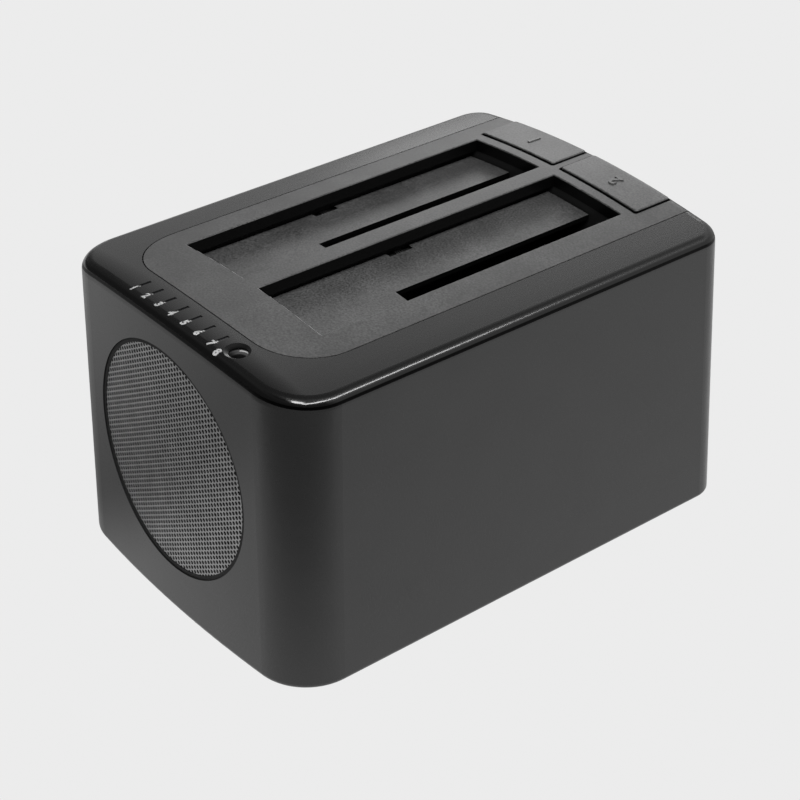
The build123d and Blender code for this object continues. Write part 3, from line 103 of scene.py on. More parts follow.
class DockFinish(bpy.types.PropertyGroup):
    """Colours and gloss of the moulded pieces."""

    shell: bpy.props.FloatVectorProperty(
        name="Shell",
        description="Colour of the shell and base",
        subtype="COLOR",
        size=3,
        default=grey(0.014),
    )
    cover: bpy.props.FloatVectorProperty(
        name="Cover",
        description="Colour of the top cover",
        subtype="COLOR",
        size=3,
        default=grey(0.008),
    )
    insert: bpy.props.FloatVectorProperty(
        name="Insert",
        description="Colour of the bay insert and keys",
        subtype="COLOR",
        size=3,
        default=grey(0.050),
    )
    flap: bpy.props.FloatVectorProperty(
        name="Flap",
        description="Colour of the dust flaps",
        subtype="COLOR",
        size=3,
        default=grey(0.064),
    )
    marking: bpy.props.FloatVectorProperty(
        name="Marking",
        description="Colour of the printed numbers",
        subtype="COLOR",
        size=3,
        default=grey(0.80),
    )
    satin: bpy.props.FloatProperty(
        name="Satin",
        description="Roughness of the shell",
        subtype="FACTOR",
        min=0.0,
        max=1.0,
        default=0.30,
    )
    rim_gloss: bpy.props.FloatProperty(
        name="Rim gloss",
        description="Roughness of the polished rim",
        subtype="FACTOR",
        min=0.0,
        max=1.0,
        default=0.12,
    )


class DockGrille(bpy.types.PropertyGroup):
    """Sizes of the perforated grille sheet."""

    hole_pitch: bpy.props.FloatProperty(
        name="Hole pitch",
        description="Distance between neighbouring holes",
        unit="LENGTH",
        default=1.53 * MM,
        precision=5,
    )
    hole_size: bpy.props.FloatProperty(
        name="Hole size",
        description="Diameter of a hole",
        unit="LENGTH",
        default=1.04 * MM,
        precision=5,
    )
    sheet: bpy.props.FloatProperty(
        name="Sheet",
        description="Thickness of the sheet",
        unit="LENGTH",
        default=0.45 * MM,
        precision=5,
    )
    # Ring round the sheet: near-black, a painted shadow of the gap between sheet and shell
    shadow_ring_width: bpy.props.FloatProperty(
        name="Ring width",
        description="Width of the black ring round the sheet",
        unit="LENGTH",
        default=1.15 * MM,
        precision=5,
    )


class DockStage(bpy.types.PropertyGroup):
    """Floor, lights and camera."""

    floor_tone: bpy.props.FloatProperty(
        name="Floor tone",
        description="Brightness of the floor and backdrop",
        min=0.0,
        max=1.0,
        default=0.838,
    )
    floor_glow: bpy.props.FloatProperty(
        name="Floor glow",
        description="Share of the floor tone that lights the dock",
        min=0.0,
        max=2.0,
        default=1.0,
    )
    horizon: bpy.props.FloatProperty(
        name="Horizon",
        description="Brightness of the far wall behind the dock",
        min=0.0,
        max=3.0,
        default=1.35,
    )
    room: bpy.props.FloatProperty(
        name="Room",
        description="Brightness of the dim room overhead",
        min=0.0,
        max=1.0,
        default=0.12,
    )
    strip_power: bpy.props.FloatProperty(
        name="Strip light",
        description="Power of the strip light on the right",
        unit="POWER",
        min=0.0,
        default=7.0,
    )
    rear_power: bpy.props.FloatProperty(
        name="Rear light",
        description="Power of the softbox behind on the left",
        unit="POWER",
        min=0.0,
        default=1.7,
    )


def feed(tree, node, inputs):
    """Sets a node's inputs; an input that comes from another node is linked."""
    for key, value in inputs.items():
        source = value.output if isinstance(value, Field) else value
        if isinstance(source, bpy.types.NodeSocket):
            tree.links.new(source, node.inputs[key])
        else:
            node.inputs[key].default_value = source


def add_node(tree, kind, inputs=None, **settings):
    """New node with its settings and inputs."""
    made = tree.nodes.new(kind)
    for name, value in settings.items():
        setattr(made, name, value)
    feed(tree, made, inputs or {})
    return made


class Field:
    """Output of a node; where it is a number, it takes part in plain arithmetic."""

    def __init__(self, tree, output):
        self.tree = tree
        self.output = output

    def work(self, operation, *others):
        """Result of a math node on this number and the others."""
        return number(self.tree, operation, self, *others)

    def __add__(self, other):
        return self.work("ADD", other)

    def __sub__(self, other):
        return self.work("SUBTRACT", other)

    def __rsub__(self, other):
        return number(self.tree, "SUBTRACT", other, self)

    def __mul__(self, other):
        return self.work("MULTIPLY", other)

    def __truediv__(self, other):
        return self.work("DIVIDE", other)

    def __abs__(self):
        return self.work("ABSOLUTE")

    def ramp(self, start, stop, low, high, kind="LINEAR"):
        """Goes from low to high while this number goes from start to stop."""
        ends = {"Value": self, "From Min": start, "From Max": stop, "To Min": low, "To Max": high}
        node = add_node(self.tree, "ShaderNodeMapRange", ends, interpolation_type=kind, clamp=True)
        return Field(self.tree, node.outputs[0])

    def eased(self, start, stop, low, high):
        """The same, with a smooth start and stop."""
        return self.ramp(start, stop, low, high, "SMOOTHSTEP")


def number(tree, operation, *values):
    """Result of a math node."""
    node = add_node(tree, "ShaderNodeMath", dict(enumerate(values)), operation=operation)
    return Field(tree, node.outputs[0])


def split(tree, vector):
    """The X, Y and Z of a vector."""
    return [Field(tree, part) for part in add_node(tree, "ShaderNodeSeparateXYZ", {0: vector}).outputs]


def coordinates(tree, kind):
    """The X, Y and Z of a texture coordinate."""
    return split(tree, add_node(tree, "ShaderNodeTexCoord").outputs[kind])


def mixed(tree, factor, first, second):
    """Number that goes from first to second with a factor."""
    node = add_node(tree, "ShaderNodeMix", {0: factor, 2: first, 3: second}, data_type="FLOAT")
    return Field(tree, node.outputs[0])


def mixed_colour(tree, factor, first, second):
    """Colour that goes from first to second with a factor."""
    ends = [colour if isinstance(colour, Field) else (*colour, 1.0) for colour in (first, second)]
    node = add_node(tree, "ShaderNodeMix", {0: factor, 6: ends[0], 7: ends[1]}, data_type="RGBA")
    return Field(tree, node.outputs[2])


def bump(tree, height, distance, strength=1.0, **under):
    """Normal raised by a height, over another normal if one is given."""
    inputs = {"Height": height, "Distance": distance, "Strength": strength, **under}
    return Field(tree, add_node(tree, "ShaderNodeBump", inputs).outputs[0])


def blank_material(name):
    """New material with an empty node tree and its surface shader."""
    material = bpy.data.materials.new(name)
    material.use_nodes = True
    tree = material.node_tree
    tree.nodes.clear()
    shader = add_node(tree, "ShaderNodeBsdfPrincipled")
    add_node(tree, "ShaderNodeOutputMaterial", {"Surface": shader.outputs[0]})
    return material, tree, shader


def grain(tree, size, detail=3.0):
    """Noise in Object coordinates, with bumps about size metres across."""
    place = add_node(tree, "ShaderNodeTexCoord").outputs["Object"]
    node = add_node(tree, "ShaderNodeTexNoise", {"Vector": place, "Scale": 1.0 / size, "Detail": detail})
    return Field(tree, node.outputs[0])


def spread(noise, low, high):
    """Noise spread between low and high."""
    return noise.ramp(NOISE_LOW, NOISE_HIGH, low, high)


def toned(colour, share):
    """Colour made lighter or darker by a share."""
    return [part * share for part in colour]


def shaded(tree, colour, noise, change):
    """Colour made lighter and darker by a share, following a noise."""
    return mixed_colour(tree, spread(noise, 0.0, 1.0), toned(colour, 1 - change), toned(colour, 1 + change))


def moulded(name, colour, roughness, grain_size=0.35 * MM, relief=0.004 * MM, change=0.08):
    """Moulded plastic: spark-eroded grain, uneven sheen and faint cloudiness."""
    material, tree, shader = blank_material(name)
    fine = grain(tree, grain_size)
    cloud = grain(tree, 14 * MM, 2.0)
    looks = {
        "Base Color": shaded(tree, colour, cloud, change),
        "Roughness": spread(fine, roughness * 0.88, roughness * 1.12),
        "Normal": bump(tree, fine, relief),
    }
    feed(tree, shader, looks)
    return material


def metal(name, colour, roughness, grain_size=0.2 * MM, relief=0.004 * MM, change=0.12):
    """Plated, drawn or painted metal: fine grain, uneven sheen and faint cloudiness."""
    material, tree, shader = blank_material(name)
    fine = grain(tree, grain_size, 2.0)
    cloud = grain(tree, 4 * MM, 2.0)
    looks = {
        "Base Color": shaded(tree, colour, cloud, change),
        "Roughness": spread(fine, roughness * 0.7, roughness * 1.3),
        "Normal": bump(tree, fine, relief),
        "Metallic": 1.0,
    }
    feed(tree, shader, looks)
    return material


def screw_steel():
    """Plated steel of the screws and pins, made once."""
    return bpy.data.materials.get("screw_plated") or metal("screw_plated", (0.45, 0.45, 0.46), 0.30)


def crown_depth(tree):
    """The X and Y of a point, and its depth under the crown."""
    x, y, z = coordinates(tree, "Object")
    height = z - (CROWN_TOP - CROWN_RADIUS)
    return x, y, CROWN_RADIUS - (x * x + height * height).work("SQRT")


def upright_faces(tree):
    """Mask of the faces whose own normal lies level, as on a side wall."""
    return abs(coordinates(tree, "Normal")[2]).eased(0.35, 0.65, 1.0, 0.0)


def painted_highlight_line(x, y, line_y, spans, half_width=0.22 * MM):
    """Mask of a painted highlight: a thin line along X at line_y, within each span of x."""
    along = [abs(x - (low + high) / 2).work("LESS_THAN", (high - low) / 2) for low, high in spans]
    return abs(y - line_y).work("LESS_THAN", half_width) * (along[0] + along[1])


def textured_with_painted_shade(name, colour, roughness, top=None, edge_spans=None):
    """Speckled, textured top face, with painted shade on the side walls (near-black, reflection tinted down)
    and a painted highlight line in front of the openings.

    The side walls start just under top, a depth below the crown, or else are the faces that stand upright."""
    material, tree, shader = blank_material(name)
    x, y, depth = crown_depth(tree)
    fine = grain(tree, 0.60 * MM)
    cloud = grain(tree, 12 * MM)
    speckle = {0: shaded(tree, colour, cloud, 0.20), "Scale": spread(fine, 0.45, 1.55)}
    face = Field(tree, add_node(tree, "ShaderNodeVectorMath", speckle, operation="SCALE").outputs[0])
    # Painted highlight: a light grey line on the edge in front of each opening
    if edge_spans:
        lit = painted_highlight_line(x, y, OPENING_FRONT - 0.25 * MM, edge_spans)
        face = mixed_colour(tree, lit, face, grey(0.30))
    # Mask of the side walls, where shade is painted
    if top is None:
        wall = upright_faces(tree)
    else:
        wall = depth.eased(top + 0.15 * MM, top + 0.40 * MM, 0.0, 1.0)
    uneven = spread(fine, roughness * 0.88, roughness * 1.12)
    looks = {
        # Painted shade on the side walls: near-black colour, reflection tinted down
        "Base Color": mixed_colour(tree, wall, face, grey(0.002)),
        "Specular Tint": mixed_colour(tree, wall, grey(1.0), grey(0.1)),
        "Roughness": mixed(tree, wall, uneven, 0.30),
        "Normal": bump(tree, fine, 0.03 * MM),
    }
    feed(tree, shader, looks)
    return material


def cover_with_painted_rim_shade(finish):
    """Satin cover whose rounded rim is polished and painted darker above, a painted dark reflection, and
    painted near-black with its reflection tinted away below, a painted shadow of the seam; both by the depth
    under the crown.
    """
    material, tree, shader = blank_material("cover_satin_rim_painted_shade")
    _, y, depth = crown_depth(tree)
    # Polished band: real gloss, with its colour painted darker as a painted dark reflection
    polished = depth.ramp(0.35 * MM, 0.70 * MM, 0.0, 1.0)
    # Painted shade: the band just above the seam is near-black with no reflection, a painted shadow of the
    # seam
    painted_seam_shade = depth.eased(1.30 * MM, 1.55 * MM, 0.0, 1.0)
    fine = grain(tree, 0.35 * MM)
    cloud = grain(tree, 16 * MM, 2.0)
    ahead = (ROLL_START - y).work("MAXIMUM", 0.0)
    roll = bump(tree, ahead * ahead * (-0.5 / ROLL_RADIUS), 1.0)
    satin_colour = shaded(tree, finish.cover, cloud, 0.08)
    satin_and_painted_dark_rim = mixed_colour(tree, polished, satin_colour, toned(finish.cover, 0.45))
    satin = spread(fine, finish.satin * 0.88, finish.satin * 0.94)
    upper_sheen = mixed(tree, polished, satin, finish.rim_gloss)
    looks = {
        "Base Color": mixed_colour(tree, painted_seam_shade, satin_and_painted_dark_rim, grey(0.001)),
        "Specular Tint": mixed_colour(tree, painted_seam_shade, grey(1.0), grey(0.0)),
        "Roughness": mixed(tree, painted_seam_shade, upper_sheen, 0.45),
        "Normal": bump(tree, fine, 0.0001 * MM, 1.0 - polished, Normal=roll),
    }
    feed(tree, shader, looks)
    return material


def light_pipe_with_painted_glint():
    """Smoky clear light pipe with a painted glint, a light grey point, at its front end."""
    material, tree, shader = blank_material("light_pipe_smoky_painted_glint")
    from_front = coordinates(tree, "Object")[1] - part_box("light_pipes")[0].y
    # Painted glint at the front end of each pipe
    painted_glint = from_front.ramp(0.45 * MM, 0.75 * MM, 1.0, 0.0)
    smoky = shaded(tree, (0.012, 0.012, 0.013), grain(tree, 0.5 * MM), 0.3)
    feed(tree, shader, {"Base Color": mixed_colour(tree, painted_glint, smoky, grey(0.45)), "Roughness": 0.18})
    return material


def dress(material, *nodes):
    """Gives CAD nodes a finish."""
    for name in nodes:
        for slot in frame["nodes"][name].material_slots:
            slot.material = material


def settle(piece, material, body, slot, *replaced):
    """Finishes a new piece: its material, the body it rides on and the nodes it stands for; slot is not used.
    """
    if material is not None:
        piece.data.materials.clear()
        piece.data.materials.append(material)
    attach(piece, body)
    if replaced:
        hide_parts(*replaced)
    return piece


def new_piece(name, mesh):
    """Object for a mesh, linked to the scene."""
    mesh.name = name
    piece = bpy.data.objects.new(name, mesh)
    bpy.context.scene.collection.objects.link(piece)
    return piece


def baked(source):
    """Plain mesh of an object with its modifiers, which is then removed."""
    bpy.context.view_layer.update()
    graph = bpy.context.evaluated_depsgraph_get()
    mesh = bpy.data.meshes.new_from_object(source.evaluated_get(graph), depsgraph=graph)
    bpy.data.objects.remove(source)
    return mesh


def mesh_of(name, shape):
    """Mesh of a bmesh, which is then freed."""
    mesh = bpy.data.meshes.new(name)
    shape.to_mesh(mesh)
    shape.free()
    return mesh


class NodeGroup:
    """Geometry node group with named inputs that ends in Realize Instances and Set Material."""

    def __init__(self, name):
        self.tree = bpy.data.node_groups.new(name, "GeometryNodeTree")
        self.tree.interface.new_socket("Geometry", in_out="OUTPUT", socket_type="NodeSocketGeometry")
        self.sockets = {}

    def named_inputs(self, **kinds):
        for name, kind in kinds.items():
            made = self.tree.interface.new_socket(name, in_out="INPUT", socket_type=kind)
            self.sockets[name] = made.identifier
        enter = self.tree.nodes.new("NodeGroupInput")
        return [Field(self.tree, enter.outputs[name]) for name in kinds]

    def end(self, shape, material):
        """Realizes the shape, sets its material and links it out."""
        real = add_node(self.tree, "GeometryNodeRealizeInstances", {0: shape})
        coloured = add_node(self.tree, "GeometryNodeSetMaterial", {0: real.outputs[0], 2: material})
        add_node(self.tree, "NodeGroupOutput", {0: coloured.outputs[0]})

    def grow(self, name, **values):
        """Plain mesh that the group makes with these values."""
        holder = new_piece(name, bpy.data.meshes.new(name))
        modifier = holder.modifiers.new(name, "NODES")
        modifier.node_group = self.tree
        for key, value in values.items():
            modifier[self.sockets[key]] = value
        return baked(holder)


def skin_ring(shape, loops, sides):
    """Faces all round a ring of loops, between the profile points named in sides and the ones after them."""
    for here, after in zip(loops, loops[1:] + loops[:1]):
        for side in sides:
            ahead = (side + 1) % len(here)
            shape.faces.new((here[side], here[ahead], after[ahead], after[side]))


def perforated_cell(pitch, hole, thickness):
    """Six-sided cell of the grille sheet round one hole, in the XZ plane with its face towards -Y."""
    steps = 12
    chamfer = 0.06 * MM
    open_side = 0
    loops = []
    shape = bmesh.new()
    for index in range(steps):
        angle = 2 * math.pi * index / steps
        outer = pitch / 2 if index % 2 else pitch / math.sqrt(3)
        profile = (
            (outer, thickness),
            (outer, 0.0),
            (hole / 2 + chamfer, 0.0),
            (hole / 2, chamfer),
            (hole / 2, thickness),
        )
        loops.append([shape.verts.new((r * math.cos(angle), y, r * math.sin(angle))) for r, y in profile])
    skin_ring(shape, loops, range(open_side + 1, len(profile)))
    return new_piece("perforated_cell", mesh_of("perforated_cell", shape))


def moved(tree, shape, x, y, z):
    """Set Position node that moves the points of another node's shape to x, y and z."""
    place = add_node(tree, "ShaderNodeCombineXYZ", {0: x, 1: y, 2: z}).outputs[0]
    return add_node(tree, "GeometryNodeSetPosition", {"Geometry": shape.outputs[0], "Position": place})


def perforated_sheet_group():
    """Round sheet of cells in staggered columns, cut to a circle and laid on the bowed, leaning front."""
    group = NodeGroup("perforated_sheet")
    cell, radius, pitch, place, material = group.named_inputs(
        Cell="NodeSocketObject",
        Radius="NodeSocketFloat",
        Pitch="NodeSocketFloat",
        Place="NodeSocketVector",
        Material="NodeSocketMaterial",
    )
    tree = group.tree
    position = add_node(tree, "GeometryNodeInputPosition").outputs[0]
    column_gap = pitch * (math.sqrt(3) / 2)
    half_columns = (radius / column_gap).work("FLOOR") + 1.0
    half_rows = (radius / pitch).work("FLOOR") + 1.0
    sizes = {
        "Size X": half_columns * 2.0 * column_gap,
        "Size Y": half_rows * 2.0 * pitch,
        "Vertices X": half_columns * 2.0 + 1.0,
        "Vertices Y": half_rows * 2.0 + 1.0,
    }
    grid = add_node(tree, "GeometryNodeMeshGrid", sizes)
    across, along, _ = split(tree, position)
    column = (across / column_gap).work("ROUND")
    stagger = column.work("FLOORED_MODULO", 2.0) * (pitch * 0.5)
    stood = moved(tree, grid, across, 0.0, along + stagger)
    reach = add_node(tree, "ShaderNodeVectorMath", {0: position}, operation="LENGTH").outputs["Value"]
    too_far = number(tree, "GREATER_THAN", reach, radius + 0.4 * MM)
    kept = add_node(tree, "GeometryNodeDeleteGeometry", {"Geometry": stood.outputs[0], "Selection": too_far})
    shape = add_node(tree, "GeometryNodeObjectInfo", {"Object": cell}).outputs["Geometry"]
    cells = add_node(tree, "GeometryNodeInstanceOnPoints", {"Points": kept.outputs[0], "Instance": shape})
    real = add_node(tree, "GeometryNodeRealizeInstances", {0: cells.outputs[0]}).outputs[0]
    welded = add_node(tree, "GeometryNodeMergeByDistance", {"Geometry": real, "Distance": 0.01 * MM})
    x, depth, z = split(tree, position)
    cut = (radius / (x * x + z * z).work("SQRT")).work("MINIMUM", 1.0)
    x, z = x * cut, z * cut
    bow = x * x / (2 * BOW_RADIUS)
    _, middle_y, middle_z = split(tree, place)
    y = bow + z * FRONT_LEAN + (depth + middle_y)
    bent = moved(tree, welded, x, y, z + middle_z)
    group.end(bent.outputs[0], material)
    return group


def contact_row_group():
    """Row of small sprung contacts: a thin strip, repeated along a line."""
    group = NodeGroup("contact_row")
    count, start, step, size, material = group.named_inputs(
        Count="NodeSocketInt",
        Start="NodeSocketVector",
        Step="NodeSocketVector",
        Size="NodeSocketVector",
        Material="NodeSocketMaterial",
    )
    tree = group.tree
    line = add_node(tree, "GeometryNodeMeshLine", {"Count": count, "Start Location": start, "Offset": step})
    strip = add_node(tree, "GeometryNodeMeshCube", {"Size": size}).outputs[0]
    rows = add_node(tree, "GeometryNodeInstanceOnPoints", {"Points": line.outputs[0], "Instance": strip})
    group.end(rows.outputs[0], material)
    return group


def ring_plate(name, inner, outer, thickness, place):
    """Flat ring laid on the bowed and leaning front, between two radii."""
    steps = 128
    profile = ((inner, 0.0), (outer, 0.0), (outer, thickness), (inner, thickness))
    shape = bmesh.new()
    loops = []
    for index in range(steps):
        angle = 2 * math.pi * index / steps
        loop = []
        for reach, depth in profile:
            x, z = reach * math.cos(angle), reach * math.sin(angle)
            y = place.y + depth + x * x / (2 * BOW_RADIUS) + FRONT_LEAN * z
            loop.append(shape.verts.new((x, y, place.z + z)))
        loops.append(loop)
    skin_ring(shape, loops, range(len(profile)))
    bmesh.ops.recalc_face_normals(shape, faces=shape.faces)
    mesh = mesh_of(name, shape)
    mesh.shade_smooth()
    mesh.set_sharp_from_angle(angle=math.radians(40))
    return new_piece(name, mesh)


def text_mesh(text, height, thickness, weight, edge=0.0):
    """Mesh of a short text, centred on the origin, lying in XY and facing up; weight thickens its strokes."""
    capital_share = 0.70
    curve = bpy.data.curves.new("marking", "FONT")
    curve.body = text
    curve.size = height / capital_share
    curve.align_x = "CENTER"
    curve.align_y = "CENTER"
    curve.extrude = thickness / 2
    curve.offset = weight
    curve.bevel_depth = edge
    curve.resolution_u = 6
    holder = bpy.data.objects.new("marking", curve)
    bpy.context.scene.collection.objects.link(holder)
    mesh = baked(holder)
    xs = [v.co.x for v in mesh.vertices]
    ys = [v.co.y for v in mesh.vertices]
    mesh.transform(Matrix.Translation((-(min(xs) + max(xs)) / 2, -(min(ys) + max(ys)) / 2, 0)))
    return mesh


def joined(name, meshes):
    """One piece from several meshes."""
    shape = bmesh.new()
    for mesh in meshes:
        shape.from_mesh(mesh)
        bpy.data.meshes.remove(mesh)
    return new_piece(name, mesh_of(name, shape))


class DOCK_OT_shell(bpy.types.Operator):
    """Gives the shell, base, feet and base screws their finishes"""

    bl_idname = "dock.shell"
    bl_label = "Shell and base"

    def execute(self, context):
        finish = context.scene.dock_finish
        dress(moulded("shell_satin", finish.shell, finish.satin), "main_shell")
        dress(moulded("base_moulded", finish.shell, finish.satin * 1.2), "base_plate")
        dress(moulded("foot_rubber", grey(0.018), 0.85, grain_size=0.2 * MM, relief=0.02 * MM), "rubber_feet")
        dress(screw_steel(), "base_screws")
        return {"FINISHED"}


class DOCK_OT_cover(bpy.types.Operator):
    """Gives the top cover its satin crown and polished rim, with a painted dark reflection and painted seam
    shadow on the rim, and the insert its fine texture, with painted shade on its side walls and a painted
    highlight line in front of the openings
    """

    bl_idname = "dock.cover"
    bl_label = "Cover and insert"

    def execute(self, context):
        finish = context.scene.dock_finish
        dress(cover_with_painted_rim_shade(finish), "top_cover")
        flaps = [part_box(f"{side}_flap") for side in SIDES]
        # Spans of the painted highlight line in front of the openings
        spans = [(low.x + 3.5 * MM, high.x + 0.15 * MM) for low, high in flaps]
        textured = textured_with_painted_shade("insert_textured_painted_light", finish.insert, 0.44, top=0.0, edge_spans=spans)
        dress(textured, "bay_insert")
        return {"FINISHED"}


class DOCK_OT_bays(bpy.types.Operator):
    """Finishes the bay wells, dust flaps with painted shade on their side faces, hinge pins, flap springs and
    well screws
    """

    bl_idname = "dock.bays"
    bl_label = "Bays and flaps"

    def execute(self, context):
        finish = context.scene.dock_finish
        well = moulded("well_moulded", grey(0.008), 0.55)
        # Flaps: painted shade on their upright side faces
        flap = textured_with_painted_shade("flap_textured_painted_shade", finish.flap, 0.48)
        oxide = metal("pin_blackened", grey(0.03), 0.55)
        steel = screw_steel()
        for side in SIDES:
            dress(well, f"{side}_bay_well")
            dress(flap, f"{side}_flap")
            dress(oxide, f"{side}_flap_pin", f"{side}_flap_spring")
            dress(steel, f"{side}_lever_pin")
        dress(steel, "well_screws")
        return {"FINISHED"}


def raised_number(side, text, material):
    """Plain number standing a little out of an eject key's top, to be read from the rear."""
    key = f"{side}_eject_key"
    low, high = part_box(key)
    middle = (low + high) / 2
    mesh = text_mesh(text, 4.2 * MM, thickness=0.30 * MM, weight=0.10 * MM, edge=0.05 * MM)
    slope = math.asin(middle.x / CROWN_RADIUS)
    lift = crown_z(middle.x) + KEY_RISE + 0.12 * MM
    place = Matrix.Translation((middle.x, middle.y, lift)) @ Matrix.Rotation(slope, 4, "Y")
    mesh.transform(place @ Matrix.Rotation(math.pi, 4, "Z"))
    settle(new_piece(f"{side}_key_number", mesh), material, key, "key_black")


def key_coil(side, material):
    """Copy of a key's spring that stands on the same seat."""
    spring, press = f"{side}_key_spring", f"{side}_key_press"
    travel = next(joint["range_m"][1] for joint in frame["joints"] if joint["name"] == press)
    coil = new_piece(f"{side}_key_coil", frame["nodes"][spring].data.copy())
    settle(coil, material, "root", "spring_steel", spring)
    low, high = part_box(spring)
    1 - travel / (high.z - low.z)
    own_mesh(coil)


class DOCK_OT_keys(bpy.types.Operator):
    """Finishes the eject keys, with painted shade on their side walls, and levers, raises a plain number on
    each key and makes its coil spring
    """

    bl_idname = "dock.keys"
    bl_label = "Eject keys"

    def execute(self, context):
        finish = context.scene.dock_finish
        # Keys: painted shade on their side walls
        textured = textured_with_painted_shade("key_textured_painted_shade", toned(finish.insert, 1.4), 0.42, top=-KEY_RISE)
        raised = moulded("key_number", toned(finish.insert, 1.6), 0.38)
        lever = moulded("lever_moulded", grey(0.02), 0.45)
        wire = metal("spring_wire", (0.50, 0.50, 0.51), 0.28)
        for index, side in enumerate(SIDES):
            dress(textured, f"{side}_eject_key")
            dress(lever, f"{side}_eject_lever")
            raised_number(side, str(index + 1), raised)
            key_coil(side, wire)
        return {"FINISHED"}


class DOCK_OT_grille(bpy.types.Operator):
    """Builds the finely perforated sheet, and round it a near-black ring that is a painted shadow of the gap,
    in place of the coarse CAD sheet
    """

    bl_idname = "dock.grille"
    bl_label = "Front grille"

    def execute(self, context):
        sizes = context.scene.dock_grille
        painted = metal("grille_painted", grey(0.26), 0.36)
        # Painted shadow: near-black ring standing in for the shaded gap round the sheet
        ring = moulded("grille_gap_painted_shadow", grey(0.001), 0.80)
        gap = 0.15 * MM
        face = Vector((0.0, grille_low.y + GRILLE_RADIUS * FRONT_LEAN, GRILLE_CENTRE.z))
        cell = perforated_cell(sizes.hole_pitch, sizes.hole_size, sizes.sheet)
        mesh = perforated_sheet_group().grow(
            "grille_sheet",
            Cell=cell,
            Radius=GRILLE_RADIUS - gap,
            Pitch=sizes.hole_pitch,
            Place=(0.0, face.y + gap, face.z),
            Material=painted,
        )
        bpy.data.objects.remove(cell)
        settle(new_piece("grille_sheet", mesh), None, "root", "mesh_black", "front_grille")
        outer = GRILLE_RADIUS + 0.2 * MM
        rim = ring_plate("grille_ring", outer - sizes.shadow_ring_width, outer, 0.14 * MM, face)
        settle(rim, ring, "root", "mesh_black")
        return {"FINISHED"}


def number_places():
    """Where the numbers lie: one in front of each status light, and one in front of the clone button."""
    low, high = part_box("light_pipes")
    button_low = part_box("clone_button")[0]
    pitch = (high.x - low.x - LIGHT_WIDTH) / (LIGHT_COUNT - 1)
    places = [(low.x + LIGHT_WIDTH / 2 + index * pitch, low.y - 1.5 * MM) for index in range(LIGHT_COUNT)]
    return [*places, (button_low.x - 0.2 * MM, button_low.y - 1.2 * MM)]


def printed_numbers():
    """Numbers printed on the cover: flat text, cut finely and laid down on its curved top."""
    over_cover = 96 * MM
    paint_height = 0.07 * MM
    meshes = []
    for index, (x, y) in enumerate(number_places()):
        mesh = text_mesh(str(index + 1), 2.2 * MM, thickness=0.02 * MM, weight=0.17 * MM)
        mesh.transform(Matrix.Translation((x, y, over_cover)))
        meshes.append(mesh)
    flat = joined("cover_numbers", meshes)
    flat.modifiers.new("triangles", "TRIANGULATE")
    finer = flat.modifiers.new("finer", "SUBSURF")
    finer.subdivision_type = "SIMPLE"
    finer.levels = finer.render_levels = 2
    wrap = flat.modifiers.new("wrap", "SHRINKWRAP")
    wrap.target = frame["nodes"]["top_cover"]
    wrap.wrap_method = "PROJECT"
    wrap.use_project_z = True
    wrap.use_project_x = False
    wrap.use_negative_direction = True
    wrap.use_positive_direction = False
    wrap.offset = paint_height
    return new_piece("printed_numbers", baked(flat))


class DOCK_OT_controls(bpy.types.Operator):
    """Finishes the light pipes with their painted glint and the clone button, and prints the plain numbers
    beside them
    """

    bl_idname = "dock.controls"
    bl_label = "Lights and button"

    def execute(self, context):
        finish = context.scene.dock_finish
        dress(light_pipe_with_painted_glint(), "light_pipes")
        glossy = moulded(
            "button_polished", grey(0.003), 0.12, grain_size=0.6 * MM, relief=0.001 * MM, change=0.05
        )
        dress(glossy, "clone_button")
        dress(moulded("plunger_moulded", (0.35, 0.04, 0.03), 0.4), "clone_plunger")
        dress(moulded("led_resin", (0.75, 0.75, 0.70), 0.25), "status_leds")
        paint = moulded(
            "marking_white", finish.marking, 0.5, grain_size=0.2 * MM, relief=0.002 * MM, change=0.04
        )
        settle(printed_numbers(), paint, "root", "cover_black")
        return {"FINISHED"}


class DOCK_OT_rear(bpy.types.Operator):
    """Finishes the data port, power jack and switch, and adds the port's contacts"""

    bl_idname = "dock.rear"
    bl_label = "Rear sockets and switch"

    def execute(self, context):
        dress(metal("port_plated", (0.62, 0.62, 0.64), 0.25), "data_port")
        black = moulded("socket_moulded", grey(0.02), 0.42)
        dress(black, "power_jack", "left_drive_socket", "right_drive_socket")
        gloss = moulded("switch_moulded", grey(0.015), 0.28, grain_size=0.3 * MM)
        dress(gloss, "switch_body", "power_rocker")
        dress(screw_steel(), "switch_pin")
        gold = metal("contact_gilt", (0.80, 0.60, 0.28), 0.25)
        group = contact_row_group()
        low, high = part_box("data_port")
        middle = (low + high) / 2
        meshes = []
        for level, count, pitch in CONTACT_ROWS:
            first_x = middle.x - (count - 1) / 2 * pitch
            meshes.append(
                group.grow(
                    "contacts",
                    Count=count,
                    Start=(first_x, high.y - 5.0 * MM, middle.z + level),
                    Step=(pitch, 0.0, 0.0),
                    Size=(0.6 * MM, 6.0 * MM, 0.16 * MM),
                    Material=gold,
                )
            )
        settle(joined("port_contacts", meshes), gold, "root", "port_steel")
        return {"FINISHED"}


